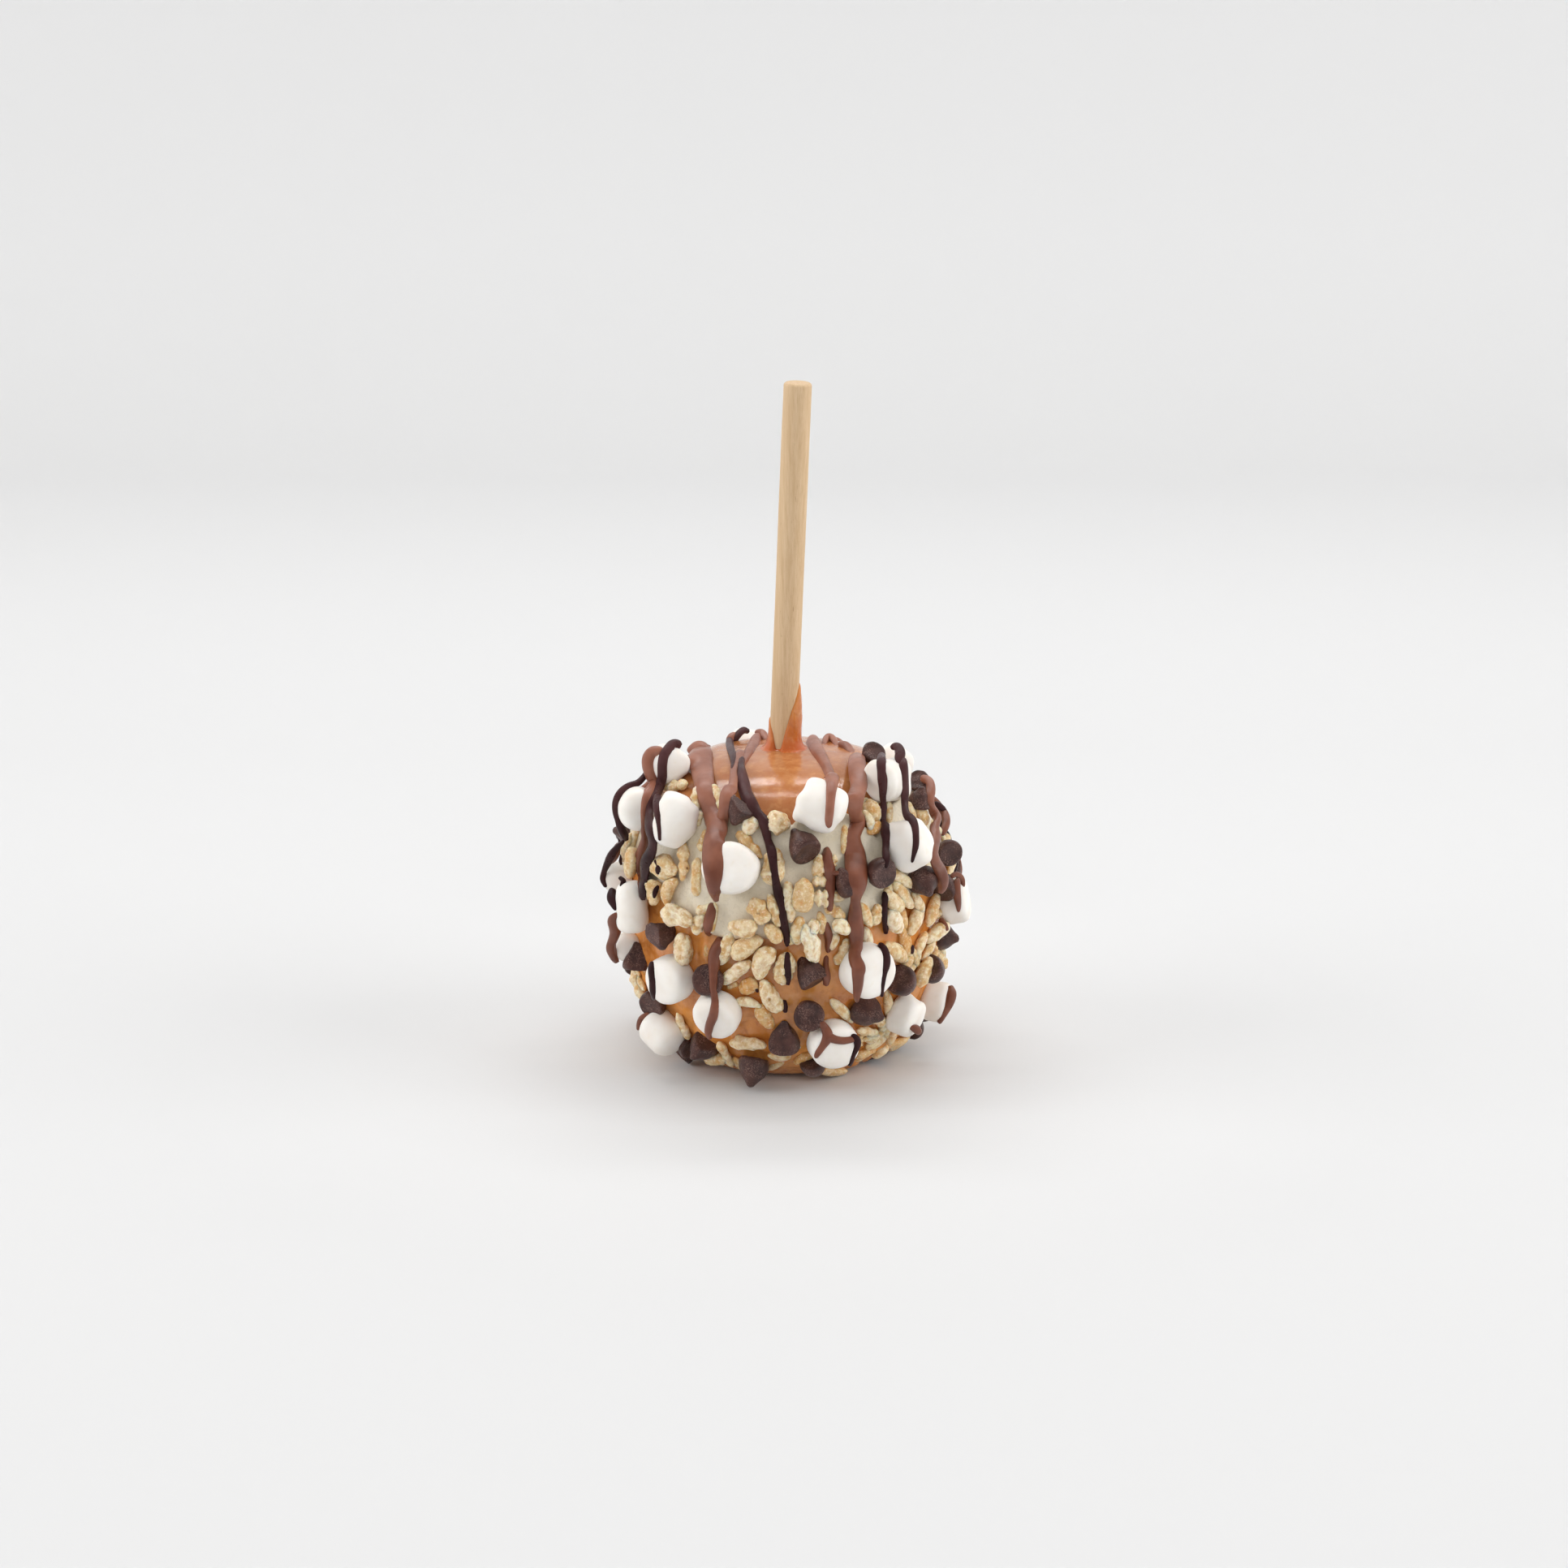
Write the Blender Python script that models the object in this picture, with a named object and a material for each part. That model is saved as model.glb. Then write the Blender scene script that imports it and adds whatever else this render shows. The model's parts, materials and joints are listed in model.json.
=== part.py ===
"""Caramel apple on a wooden stick: a caramel-coated apple with a flat foot, a band of white
confection round its middle, a round stick pushed into its top, and small marshmallows
pressed on all round. Metres, +Z up, origin at the centre of the flat foot it stands on,
front of the apple towards -Y."""

import math
import random

import bmesh
import bpy
import numpy as np
from mathutils import Matrix, Vector
from mathutils.bvhtree import BVHTree

# ------------------------------------------------------------------ driving sizes (m)
FOOT_R = 0.0168            # flat caramel foot the apple stands on
APPLE_R = 0.0357           # widest radius of the coated apple, without toppings
TOP_Z = 0.0728             # height of the caramel where the stick goes in
COLLAR_R = 0.0040          # caramel collar drawn up round the stick
COLLAR_TOP_Z = 0.0764
LOBES = 5                  # soft ridges of the apple under the caramel
LOBE_DEPTH = 0.0035        # share of the radius, at the shoulder
OVAL = 0.0060              # share of the radius by which it is out of round
STICK_D = 0.00635          # quarter-inch dowel
STICK_LENGTH = 0.1400
STICK_TOP_Z = 0.1585
STICK_ROUNDING = 0.0012
STICK_LEAN_X = 0.0390      # metres sideways for each metre up
STICK_LEAN_Y = -0.0700     # metres towards the front for each metre up
STICK_ENTRY = (-0.0007, 0.0, 0.0720)
GAP = 0.0003               # clearance kept between separate pieces
COAT_GAP = 0.0004          # the same under the white band, whose faces are wider
COAT_T = 0.0009            # thickness of the white band
CORE_SEGMENTS = 40
CORE_RINGS = 26
STICK_SEGMENTS = 18
MALLOW_SEGMENTS = 12

# The half-outline of the coated apple, foot to collar, as (share of APPLE_R, height).
OUTLINE = [
    (FOOT_R / APPLE_R, 0.0000),
    (0.600, 0.0010),
    (0.706, 0.0038),
    (0.807, 0.0080),
    (0.894, 0.0140),
    (0.961, 0.0220),
    (0.997, 0.0325),
    (1.000, 0.0430),
    (0.969, 0.0525),
    (0.902, 0.0604),
    (0.796, 0.0660),
    (0.658, 0.0697),
    (0.490, 0.0719),
    (0.322, 0.0727),
    (0.196, 0.0731),
    (0.136, 0.0741),
    (COLLAR_R / APPLE_R, COLLAR_TOP_Z),
]

# Lower and upper edge of the white band: (direction round the apple in degrees, 0 at the
# front and 90 at +X; height in mm).
BAND_LOW = [(-180, 43.0), (-140, 45.0), (-100, 46.5), (-65, 46.0), (-45, 41.5), (-28, 38.6),
            (-10, 37.4), (8, 37.8), (24, 40.0), (42, 41.4), (60, 44.0), (90, 44.5), (120, 42.0),
            (150, 44.5)]
BAND_HIGH = [(-180, 65.0), (-140, 63.6), (-95, 65.2), (-60, 64.6), (-38, 65.6), (-15, 65.4),
             (2, 64.2), (16, 65.6), (28, 64.4), (37, 61.0), (48, 64.0), (90, 65.0), (140, 65.8)]

# Where the apple is looked at from, used to seat what shows on its front. Focal length and
# centre are in pixels of a square 1932-pixel view.
VIEW_FOCAL = 3710.0
VIEW_CENTRE = 966.0
VIEW_DISTANCE = 0.700
VIEW_PITCH = math.radians(14.4)
VIEW_AIM = (-0.0004, 0.0, 0.0646)

# Marshmallows that show: view x, view y, diameter and length (mm), lean of the axis away from
# straight out of the apple (0 stands on its end, 90 lies on its side), the way it leans,
# clockwise from up, and how much the far end narrows.
SHOWN_MALLOWS = [
    (822, 942, 9.2, 9.4, 88, 84, 0.00),
    (783, 996, 9.6, 8.2, 70, 90, 0.05),
    (829, 1010, 9.0, 12.8, 88, 6, -0.14),
    (761, 1078, 7.2, 7.6, 85, 92, 0.00),
    (780, 1117, 7.6, 12.6, 88, -4, 0.06),
    (898, 1070, 12.1, 8.4, 10, 30, 0.00),
    (1012, 992, 11.2, 12.0, 84, 118, 0.10),
    (1098, 964, 10.2, 10.4, 90, 92, 0.00),
    (1126, 1040, 11.0, 9.4, 20, 60, 0.05),
    (1179, 1109, 10.9, 7.8, 12, 20, 0.00),
    (823, 1208, 11.2, 7.8, 6, 0, 0.00),
    (882, 1252, 10.9, 6.8, 8, 180, 0.00),
    (1071, 1197, 12.4, 8.2, 6, 90, 0.00),
    (1028, 1289, 11.2, 7.8, 14, 0, 0.00),
    (1120, 1253, 9.8, 7.2, 12, 90, 0.04),
    (1161, 1237, 9.6, 7.4, 12, 0, 0.00),
    (814, 1275, 9.2, 9.8, 84, 118, 0.06),
    (770, 1167, 6.8, 6.8, 84, 80, 0.00),
]
# The same for two that stick up from the far slope of the top.
FAR_MALLOWS = [
    (1103, 940, 8.2, 8.4, 88, 70, 0.00),
    (921, 921, 8.8, 9.0, 88, 80, 0.00),
]
# Round the back: height, how many, where the row starts, from and to (degrees).
BACK_ROWS = [(0.0550, 3, 0.35, 130, 232), (0.0425, 4, 0.60, 118, 242),
             (0.0300, 4, 0.25, 118, 242), (0.0175, 4, 0.65, 120, 244)]
BACK_SEED = 11

COLOURS = {
    "caramel": ((0.52, 0.225, 0.075, 1.0), 0.24),
    "white_confection": ((0.80, 0.76, 0.62, 1.0), 0.32),
    "marshmallow": ((0.90, 0.885, 0.86, 1.0), 0.62),
    "birch_wood": ((0.64, 0.47, 0.30, 1.0), 0.58),
}


# ------------------------------------------------------------------ curves
def spline(knots, steps):
    """Points along a smooth curve through the knots, ends kept."""
    knots = [np.array(k, float) for k in knots]
    padded = [2 * knots[0] - knots[1]] + knots + [2 * knots[-1] - knots[-2]]
    points = []
    for i in range(1, len(padded) - 2):
        a, b, c, d = padded[i - 1:i + 3]
        for s in range(steps):
            t = s / steps
            points.append(0.5 * (2 * b + (c - a) * t + (2 * a - 5 * b + 4 * c - d) * t * t
                                 + (3 * b - a - 3 * c + d) * t ** 3))
    points.append(padded[-2])
    return np.array(points)


def round_curve(knots, degrees):
    """Value of a smooth closed curve through (degrees, value) knots."""
    n = len(knots)
    at = (degrees + 180.0) % 360.0 - 180.0
    i = max(k for k in range(n) if knots[k][0] <= at)
    x0 = knots[i][0]
    x1 = knots[(i + 1) % n][0] + (360 if i + 1 == n else 0)
    t = (at - x0) / (x1 - x0)
    a, b, c, d = (knots[(i + k) % n][1] for k in (-1, 0, 1, 2))
    return 0.5 * (2 * b + (c - a) * t + (2 * a - 5 * b + 4 * c - d) * t * t
                  + (3 * b - a - 3 * c + d) * t ** 3)


FINE_RZ = spline([(r * APPLE_R, z) for r, z in OUTLINE], 12)


def outline_at(z):
    """(radius, normal r, normal z) of the half-outline at a height."""
    r = float(np.interp(z, FINE_RZ[:, 1], FINE_RZ[:, 0]))
    e = 0.0006
    below = float(np.interp(max(z - e, 0.0), FINE_RZ[:, 1], FINE_RZ[:, 0]))
    above = float(np.interp(z + e, FINE_RZ[:, 1], FINE_RZ[:, 0]))
    dz = z + e - max(z - e, 0.0)
    size = math.hypot(dz, above - below)
    return r, dz / size, (below - above) / size


def unround(angle, z):
    """How far out of round the apple is there, as a share of its radius."""
    shoulder = math.exp(-((z - 0.060) / 0.018) ** 2)
    belly = math.sin(math.pi * min(max(z / 0.0700, 0.0), 1.0))
    return (LOBE_DEPTH * shoulder * math.cos(LOBES * (angle - 0.35))
            + OVAL * belly * math.cos(2 * (angle - 0.9)))


def skin(angle, z, off=0.0):
    """A point of the coated apple's surface, or that far off it."""
    r, nr, nz = outline_at(z)
    r = r * (1 + unround(angle, z)) + nr * off
    return r * math.sin(angle), -r * math.cos(angle), z + nz * off


def band(angle):
    """Lower and upper height of the white band in a direction round the apple."""
    degrees = math.degrees(angle)
    return round_curve(BAND_LOW, degrees) / 1000, round_curve(BAND_HIGH, degrees) / 1000


def make_outside():
    """The outside of apple and band together, as a search tree, and its points."""
    heights = [z for _, z in FINE_RZ[::2]]
    around = 120
    points = []
    for z in heights:
        for k in range(around):
            a = 2 * math.pi * k / around
            low, high = band(a)
            on_band = low - 0.0012 < z < high + 0.0012
            points.append(Vector(skin(a, z, COAT_GAP + COAT_T if on_band else 0.0)))
    faces = []
    for j in range(len(heights) - 1):
        for k in range(around):
            n = (k + 1) % around
            faces.append((j * around + k, j * around + n, (j + 1) * around + n, (j + 1) * around + k))
    return BVHTree.FromPolygons(points, faces), np.array([p[:] for p in points])


OUTSIDE, OUTSIDE_POINTS = make_outside()


VIEW_FORWARD = Vector((0, math.cos(VIEW_PITCH), -math.sin(VIEW_PITCH)))
VIEW_UP = Vector((0, math.sin(VIEW_PITCH), math.cos(VIEW_PITCH)))
VIEW_EYE = Vector(VIEW_AIM) - VIEW_FORWARD * VIEW_DISTANCE


def view_point(p):
    """Where a point shows in the view, in pixels."""
    away = p - VIEW_EYE
    scale = VIEW_FOCAL / away.dot(VIEW_FORWARD)
    return VIEW_CENTRE + away.x * scale, VIEW_CENTRE - away.dot(VIEW_UP) * scale


def seen_at(px, py, lift, far=False):
    """Foot point and normal of what shows at that view point and lies that far off the apple."""
    line = (VIEW_FORWARD + Vector((1, 0, 0)) * ((px - VIEW_CENTRE) / VIEW_FOCAL)
            + VIEW_UP * ((VIEW_CENTRE - py) / VIEW_FOCAL)).normalized()
    best = None
    for i in range(480):
        way = 0.060 - i * 0.00025 if far else i * 0.00025 - 0.060
        p = VIEW_EYE + line * (VIEW_DISTANCE + way)
        foot, normal, _, d = OUTSIDE.find_nearest(p)
        if d <= lift or (p - foot).dot(normal) < 0:
            return foot, smooth_normal(foot)
        if best is None or d < best[0]:
            best = (d, foot)
    return best[1], smooth_normal(best[1])


def smooth_normal(p):
    """Outward normal of the apple at a point on or near it, without the band's step."""
    angle = math.atan2(p[0], -p[1])
    away = FINE_RZ - np.array([math.hypot(p[0], p[1]), p[2]])
    _, nr, nz = outline_at(float(FINE_RZ[int(np.argmin((away ** 2).sum(1))), 1]))
    return Vector((nr * math.sin(angle), -nr * math.cos(angle), nz)).normalized()


def surface_at(degrees, z):
    """Foot point and normal in a direction round the apple, at a height."""
    foot = OUTSIDE.find_nearest(Vector(skin(math.radians(degrees), z, 0.001)))[0]
    return foot, smooth_normal(foot)


# ------------------------------------------------------------------ making meshes
def material(name):
    found = bpy.data.materials.get(name)
    if found:
        return found
    made = bpy.data.materials.new(name)
    made.use_nodes = True
    colour, roughness = COLOURS[name]
    shader = made.node_tree.nodes["Principled BSDF"]
    shader.inputs["Base Color"].default_value = colour
    shader.inputs["Roughness"].default_value = roughness
    shader.inputs["Metallic"].default_value = 0.0
    made.diffuse_color = colour
    return made


def add(name, bm, mat):
    bmesh.ops.recalc_face_normals(bm, faces=bm.faces)
    mesh = bpy.data.meshes.new(name)
    bm.to_mesh(mesh)
    bm.free()
    mesh.materials.append(material(mat))
    mesh.shade_smooth()
    mesh.set_sharp_from_angle(angle=math.radians(40))
    obj = bpy.data.objects.new(name, mesh)
    bpy.context.scene.collection.objects.link(obj)
    return obj


def join_rings(bm, rings, ring_loop=False):
    """Faces between rings of equal length; open ends are closed flat."""
    pairs = list(zip(rings, rings[1:] + rings[:1])) if ring_loop else list(zip(rings, rings[1:]))
    for a, b in pairs:
        for k in range(len(a)):
            n = (k + 1) % len(a)
            bm.faces.new((a[k], a[n], b[n], b[k]))
    if not ring_loop:
        bm.faces.new(rings[0][::-1])
        bm.faces.new(rings[-1])


def turned(bm, rz, segments):
    """A half-outline turned about Z."""
    rings = [[bm.verts.new((r * math.sin(2 * math.pi * k / segments),
                            -r * math.cos(2 * math.pi * k / segments), z))
              for k in range(segments)] for r, z in rz]
    join_rings(bm, rings)


# ------------------------------------------------------------------ pieces
def stick_frame():
    """Frame at the stick's lower end, with its Z along the stick."""
    axis = Vector((STICK_LEAN_X, STICK_LEAN_Y, 1)).normalized()
    entry = Vector(STICK_ENTRY)
    top = entry + axis * ((STICK_TOP_Z - entry.z) / axis.z)
    turn = axis.to_track_quat("Z", "Y").to_matrix().to_4x4()
    return Matrix.Translation(top - axis * STICK_LENGTH) @ turn


def make_stick():
    r, c, n = STICK_D / 2, STICK_ROUNDING, STICK_LENGTH
    rz = [(r - c, 0), (r - 0.3 * c, 0.25 * c), (r, c), (r, n - c),
          (r - 0.3 * c, n - 0.3 * c), (r - c, n)]
    bm = bmesh.new()
    turned(bm, rz, STICK_SEGMENTS)
    obj = add("stick", bm, "birch_wood")
    obj.matrix_world = stick_frame()
    return obj


def make_core():
    bm = bmesh.new()
    rings = []
    along = np.concatenate([[0], np.cumsum(np.linalg.norm(np.diff(FINE_RZ, axis=0), axis=1))])
    for z in np.interp(np.linspace(0, along[-1], CORE_RINGS), along, FINE_RZ[:, 1]):
        rings.append([bm.verts.new(skin(2 * math.pi * k / CORE_SEGMENTS, float(z)))
                      for k in range(CORE_SEGMENTS)])
    join_rings(bm, rings)
    core = add("caramel_apple", bm, "caramel")
    bm = bmesh.new()
    r = STICK_D / 2 + GAP
    turned(bm, [(r, -GAP), (r, STICK_LENGTH)], STICK_SEGMENTS)
    cutter = add("stick_hole_cutter", bm, "caramel")
    cutter.matrix_world = stick_frame()
    cutter.hide_render = True
    cutter.display_type = "WIRE"
    hole = core.modifiers.new("stick_hole", "BOOLEAN")
    hole.operation = "DIFFERENCE"
    hole.solver = "EXACT"
    hole.object = cutter
    return core


def make_coat():
    """The white band: up its outside, thinning to its edges, and down its inside."""
    outside_steps, inside_steps = 7, 8
    bm = bmesh.new()
    rings = [[] for _ in range(outside_steps + inside_steps)]
    for k in range(CORE_SEGMENTS):
        a = 2 * math.pi * k / CORE_SEGMENTS
        low, high = band(a)
        place = []
        for j in range(outside_steps):
            t = j / (outside_steps - 1)
            thick = COAT_T * (0.35 + 0.65 * math.sin(math.pi * t) ** 0.4)
            place.append((low + (high - low) * t, COAT_GAP + thick))
        for j in range(inside_steps):
            t = 1 - j / (inside_steps - 1)
            place.append((low + 0.0003 + (high - low - 0.0006) * t, COAT_GAP))
        for ring, (z, off) in zip(rings, place):
            ring.append(bm.verts.new(skin(a, z, off)))
    join_rings(bm, rings, ring_loop=True)
    return add("white_coat", bm, "white_confection")


def mallow_place(foot, normal, diameter, length, lean, clock):
    """Centre, axis and the pressed-flat plane of a marshmallow on the apple."""
    tangent_up = Vector((0, 0, 1)) - normal * normal.z
    tangent_up.normalize()
    right = tangent_up.cross(normal)           # to the right, seen from outside
    way = (tangent_up * math.cos(math.radians(clock)) + right * math.sin(math.radians(clock)))
    axis = (normal * math.cos(math.radians(lean)) + way * math.sin(math.radians(lean))).normalized()
    out = abs(axis.dot(normal))
    reach = out * length / 2 + math.sqrt(1 - min(out, 1.0) ** 2) * diameter / 2
    side = math.sqrt(1 - min(out, 1.0) ** 2) * length / 2 + out * diameter / 2
    # the seat clears the highest of the apple and band under the marshmallow
    off = OUTSIDE_POINTS - np.array(foot)
    height = off @ np.array(normal)
    apart = np.linalg.norm(off - height[:, None] * np.array(normal), axis=1)
    seat = foot + normal * (max(0.0, float(height[apart < 0.6 * side].max(initial=0.0))) + GAP)
    return seat + normal * (0.88 * reach), axis, seat


def mallow_seen_at(px, py, diameter, length, lean, clock, far):
    """Foot point and normal of a marshmallow whose middle shows at that view point."""
    out = math.cos(math.radians(lean))
    lift = (out * length / 2 + math.sqrt(1 - out ** 2) * diameter / 2) * 0.9
    ax, ay, best = px, py, None
    for _ in range(8):
        foot, normal = seen_at(ax, ay, lift, far)
        shown = view_point(mallow_place(foot, normal, diameter, length, lean, clock)[0])
        miss = math.hypot(px - shown[0], py - shown[1])
        if best is None or miss < best[0]:
            best = (miss, foot, normal)
        ax += 0.6 * max(-6.0, min(6.0, px - shown[0]))
        ay += 0.6 * max(-6.0, min(6.0, py - shown[1]))
    return best[1], best[2]


def make_mallow(name, foot, normal, diameter, length, lean, clock, narrow, rng):
    """A soft-edged puffed cylinder, pressed flat where it meets the apple."""
    centre, axis, seat = mallow_place(foot, normal, diameter, length, lean, clock)
    frame = Matrix.Translation(centre) @ axis.to_track_quat("Z", "X").to_matrix().to_4x4()
    squash, skew = rng.uniform(0.96, 1.04), rng.uniform(-0.06, 0.06)
    bm = bmesh.new()
    rings = []
    for u in (-0.975, -0.82, -0.48, 0.0, 0.48, 0.82, 0.975):
        r = diameter / 2 * (1 - abs(u) ** 3.4) ** (1 / 2.3) * (1 - narrow * u)
        z = u * length / 2
        rings.append([bm.verts.new((r * math.cos(2 * math.pi * k / MALLOW_SEGMENTS) * squash + skew * z,
                                    r * math.sin(2 * math.pi * k / MALLOW_SEGMENTS) / squash, z))
                      for k in range(MALLOW_SEGMENTS)])
    join_rings(bm, rings)
    local = frame.inverted()
    cut = bmesh.ops.bisect_plane(
        bm, geom=bm.verts[:] + bm.edges[:] + bm.faces[:], dist=1e-7, plane_co=local @ seat,
        plane_no=local.to_3x3() @ normal, clear_inner=True)
    rim = [e for e in cut["geom_cut"] if isinstance(e, bmesh.types.BMEdge)]
    if rim:
        bmesh.ops.contextual_create(bm, geom=rim)
    # then it is raised until it is clear, and let down until only the clearance is left
    bm.verts.index_update()
    polygons = [[v.index for v in f.verts] for f in bm.faces]
    while True:
        corners = [frame @ v.co for v in bm.verts]
        tree = BVHTree.FromPolygons(corners, polygons)
        if not tree.overlap(OUTSIDE):
            break
        frame = Matrix.Translation(normal * GAP) @ frame
        centre = centre + normal * GAP
    near = np.linalg.norm(OUTSIDE_POINTS - np.array(centre), axis=1) < 0.014
    gap = min(min(OUTSIDE.find_nearest(c)[3] for c in corners),
              min(tree.find_nearest(Vector(p))[3] for p in OUTSIDE_POINTS[near]))
    down = normal * max(0.0, gap - GAP)
    obj = add(name, bm, "marshmallow")
    obj.matrix_world = Matrix.Translation(-down) @ frame
    return centre - down, max(diameter, length) / 2


def main():
    for obj in list(bpy.data.objects):
        bpy.data.objects.remove(obj)
    make_core()
    make_coat()
    make_stick()
    rng = random.Random(BACK_SEED)
    placed = []

    def put(foot, normal, d, n, lean, clock, narrow):
        name = f"marshmallow_{len(placed) + 1:02d}"
        placed.append(make_mallow(name, foot, normal, d, n, lean, clock, narrow, rng))

    for far, listed in ((False, SHOWN_MALLOWS), (True, FAR_MALLOWS)):
        for px, py, d, n, lean, clock, narrow in listed:
            put(*mallow_seen_at(px, py, d / 1000, n / 1000, lean, clock, far),
                d / 1000, n / 1000, lean, clock, narrow)
    for height, many, shift, start, end in BACK_ROWS:
        step = (end - start) / many
        for k in range(many):
            degrees = start + (k + shift) * step + rng.uniform(-6, 6)
            z = height + rng.uniform(-0.0025, 0.0025)
            d, n = rng.uniform(0.0096, 0.0120), rng.uniform(0.0080, 0.0112)
            lean, clock = rng.choice((6, 10, 12, 85, 90)), rng.uniform(-80, 80)
            foot, normal = surface_at(degrees, z)
            size = max(d, n) / 2
            if all((foot + normal * 0.0045 - c).length > 0.96 * (size + s) for c, s in placed):
                put(foot, normal, d, n, lean, clock, rng.uniform(-0.05, 0.05))


main()
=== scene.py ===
"""Looks of the caramel apple: the poured caramel and white band, the stick and the caramel
drawn up it, marshmallows, chocolate chips, crisped rice and two chocolate drizzles, in
metres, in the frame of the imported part."""

import json
import math
import random

import bmesh
import bpy
import numpy as np
from mathutils import Matrix, Vector
from mathutils.bvhtree import BVHTree

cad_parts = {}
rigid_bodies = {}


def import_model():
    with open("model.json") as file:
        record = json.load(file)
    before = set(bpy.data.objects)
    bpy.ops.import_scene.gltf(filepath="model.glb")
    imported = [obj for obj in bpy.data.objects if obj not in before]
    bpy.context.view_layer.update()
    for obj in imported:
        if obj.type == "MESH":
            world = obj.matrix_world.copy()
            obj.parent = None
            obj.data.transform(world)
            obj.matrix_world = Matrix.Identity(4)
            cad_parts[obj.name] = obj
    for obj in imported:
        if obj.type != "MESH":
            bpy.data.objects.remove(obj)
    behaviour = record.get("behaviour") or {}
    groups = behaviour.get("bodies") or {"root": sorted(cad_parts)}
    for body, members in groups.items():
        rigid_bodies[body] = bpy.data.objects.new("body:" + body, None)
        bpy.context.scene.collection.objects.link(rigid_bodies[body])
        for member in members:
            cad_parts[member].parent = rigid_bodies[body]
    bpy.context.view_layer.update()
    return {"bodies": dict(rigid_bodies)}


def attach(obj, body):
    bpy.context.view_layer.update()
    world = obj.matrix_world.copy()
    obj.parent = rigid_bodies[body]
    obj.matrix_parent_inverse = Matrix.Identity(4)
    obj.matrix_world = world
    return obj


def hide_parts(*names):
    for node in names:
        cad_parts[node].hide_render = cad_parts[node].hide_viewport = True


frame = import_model()
BODY = next(iter(frame["bodies"]))

# ------------------------------------------------------------------ sizes shared with the solids
FOOT_R = 0.0168
APPLE_R = 0.0357
COLLAR_R = 0.0040
COLLAR_TOP_Z = 0.0764
LOBES = 5
LOBE_DEPTH = 0.0035
OVAL = 0.0060
STICK_D = 0.00635
STICK_LENGTH = 0.1400
STICK_TOP_Z = 0.1585
STICK_ROUNDING = 0.0012
STICK_LEAN_X = 0.0390
STICK_LEAN_Y = -0.0700
STICK_ENTRY = (-0.0007, 0.0, 0.0720)
GAP = 0.0003
COAT_GAP = 0.0004
COAT_T = 0.0009
MALLOW_SEGMENTS = 12
OUTLINE = [
    (FOOT_R / APPLE_R, 0.0000), (0.600, 0.0010), (0.706, 0.0038), (0.807, 0.0080),
    (0.894, 0.0140), (0.961, 0.0220), (0.997, 0.0325), (1.000, 0.0430), (0.969, 0.0525),
    (0.902, 0.0604), (0.796, 0.0660), (0.658, 0.0697), (0.490, 0.0719), (0.322, 0.0727),
    (0.196, 0.0731), (0.136, 0.0741), (COLLAR_R / APPLE_R, COLLAR_TOP_Z),
]
BAND_LOW = [(-180, 43.0), (-140, 45.0), (-100, 46.5), (-65, 46.0), (-45, 41.5), (-28, 38.6),
            (-10, 37.4), (8, 37.8), (24, 40.0), (42, 41.4), (60, 44.0), (90, 44.5), (120, 42.0),
            (150, 44.5)]
BAND_HIGH = [(-180, 65.0), (-140, 63.6), (-95, 65.2), (-60, 64.6), (-38, 65.6), (-15, 65.4),
             (2, 64.2), (16, 65.6), (28, 64.4), (37, 61.0), (48, 64.0), (90, 65.0), (140, 65.8)]
VIEW_FOCAL = 3710.0
VIEW_CENTRE = 966.0
VIEW_DISTANCE = 0.700
VIEW_PITCH = math.radians(14.4)
VIEW_AIM = (-0.0004, 0.0, 0.0646)
SHOWN_MALLOWS = [
    (822, 942, 9.2, 9.4, 88, 84, 0.00),
    (783, 996, 9.6, 8.2, 70, 90, 0.05),
    (829, 1010, 9.0, 12.8, 88, 6, -0.14),
    (761, 1078, 7.2, 7.6, 85, 92, 0.00),
    (780, 1117, 7.6, 12.6, 88, -4, 0.06),
    (898, 1070, 12.1, 8.4, 10, 30, 0.00),
    (1012, 992, 11.2, 12.0, 84, 118, 0.10),
    (1098, 964, 10.2, 10.4, 90, 92, 0.00),
    (1126, 1040, 11.0, 9.4, 20, 60, 0.05),
    (1179, 1109, 10.9, 7.8, 12, 20, 0.00),
    (823, 1208, 11.2, 7.8, 6, 0, 0.00),
    (882, 1252, 10.9, 6.8, 8, 180, 0.00),
    (1071, 1197, 12.4, 8.2, 6, 90, 0.00),
    (1028, 1289, 11.2, 7.8, 14, 0, 0.00),
    (1120, 1253, 9.8, 7.2, 12, 90, 0.04),
    (1161, 1237, 9.6, 7.4, 12, 0, 0.00),
    (814, 1275, 9.2, 9.8, 84, 118, 0.06),
    (770, 1167, 6.8, 6.8, 84, 80, 0.00),
]
FAR_MALLOWS = [
    (1103, 940, 8.2, 8.4, 88, 70, 0.00),
    (921, 921, 8.8, 9.0, 88, 80, 0.00),
]
BACK_ROWS = [(0.0550, 3, 0.35, 130, 232), (0.0425, 4, 0.60, 118, 242),
             (0.0300, 4, 0.25, 118, 242), (0.0175, 4, 0.65, 120, 244)]
BACK_SEED = 11

MM = 0.001
PX_MM = 5.45               # view pixels to the millimetre at the front of the apple


# ------------------------------------------------------------------ curves
def spline(knots, steps):
    """Points along a smooth curve through the knots, ends kept."""
    knots = [np.array(k, float) for k in knots]
    padded = [2 * knots[0] - knots[1]] + knots + [2 * knots[-1] - knots[-2]]
    points = []
    for i in range(1, len(padded) - 2):
        a, b, c, d = padded[i - 1:i + 3]
        for s in range(steps):
            t = s / steps
            points.append(0.5 * (2 * b + (c - a) * t + (2 * a - 5 * b + 4 * c - d) * t * t
                                 + (3 * b - a - 3 * c + d) * t ** 3))
    points.append(padded[-2])
    return np.array(points)


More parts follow.
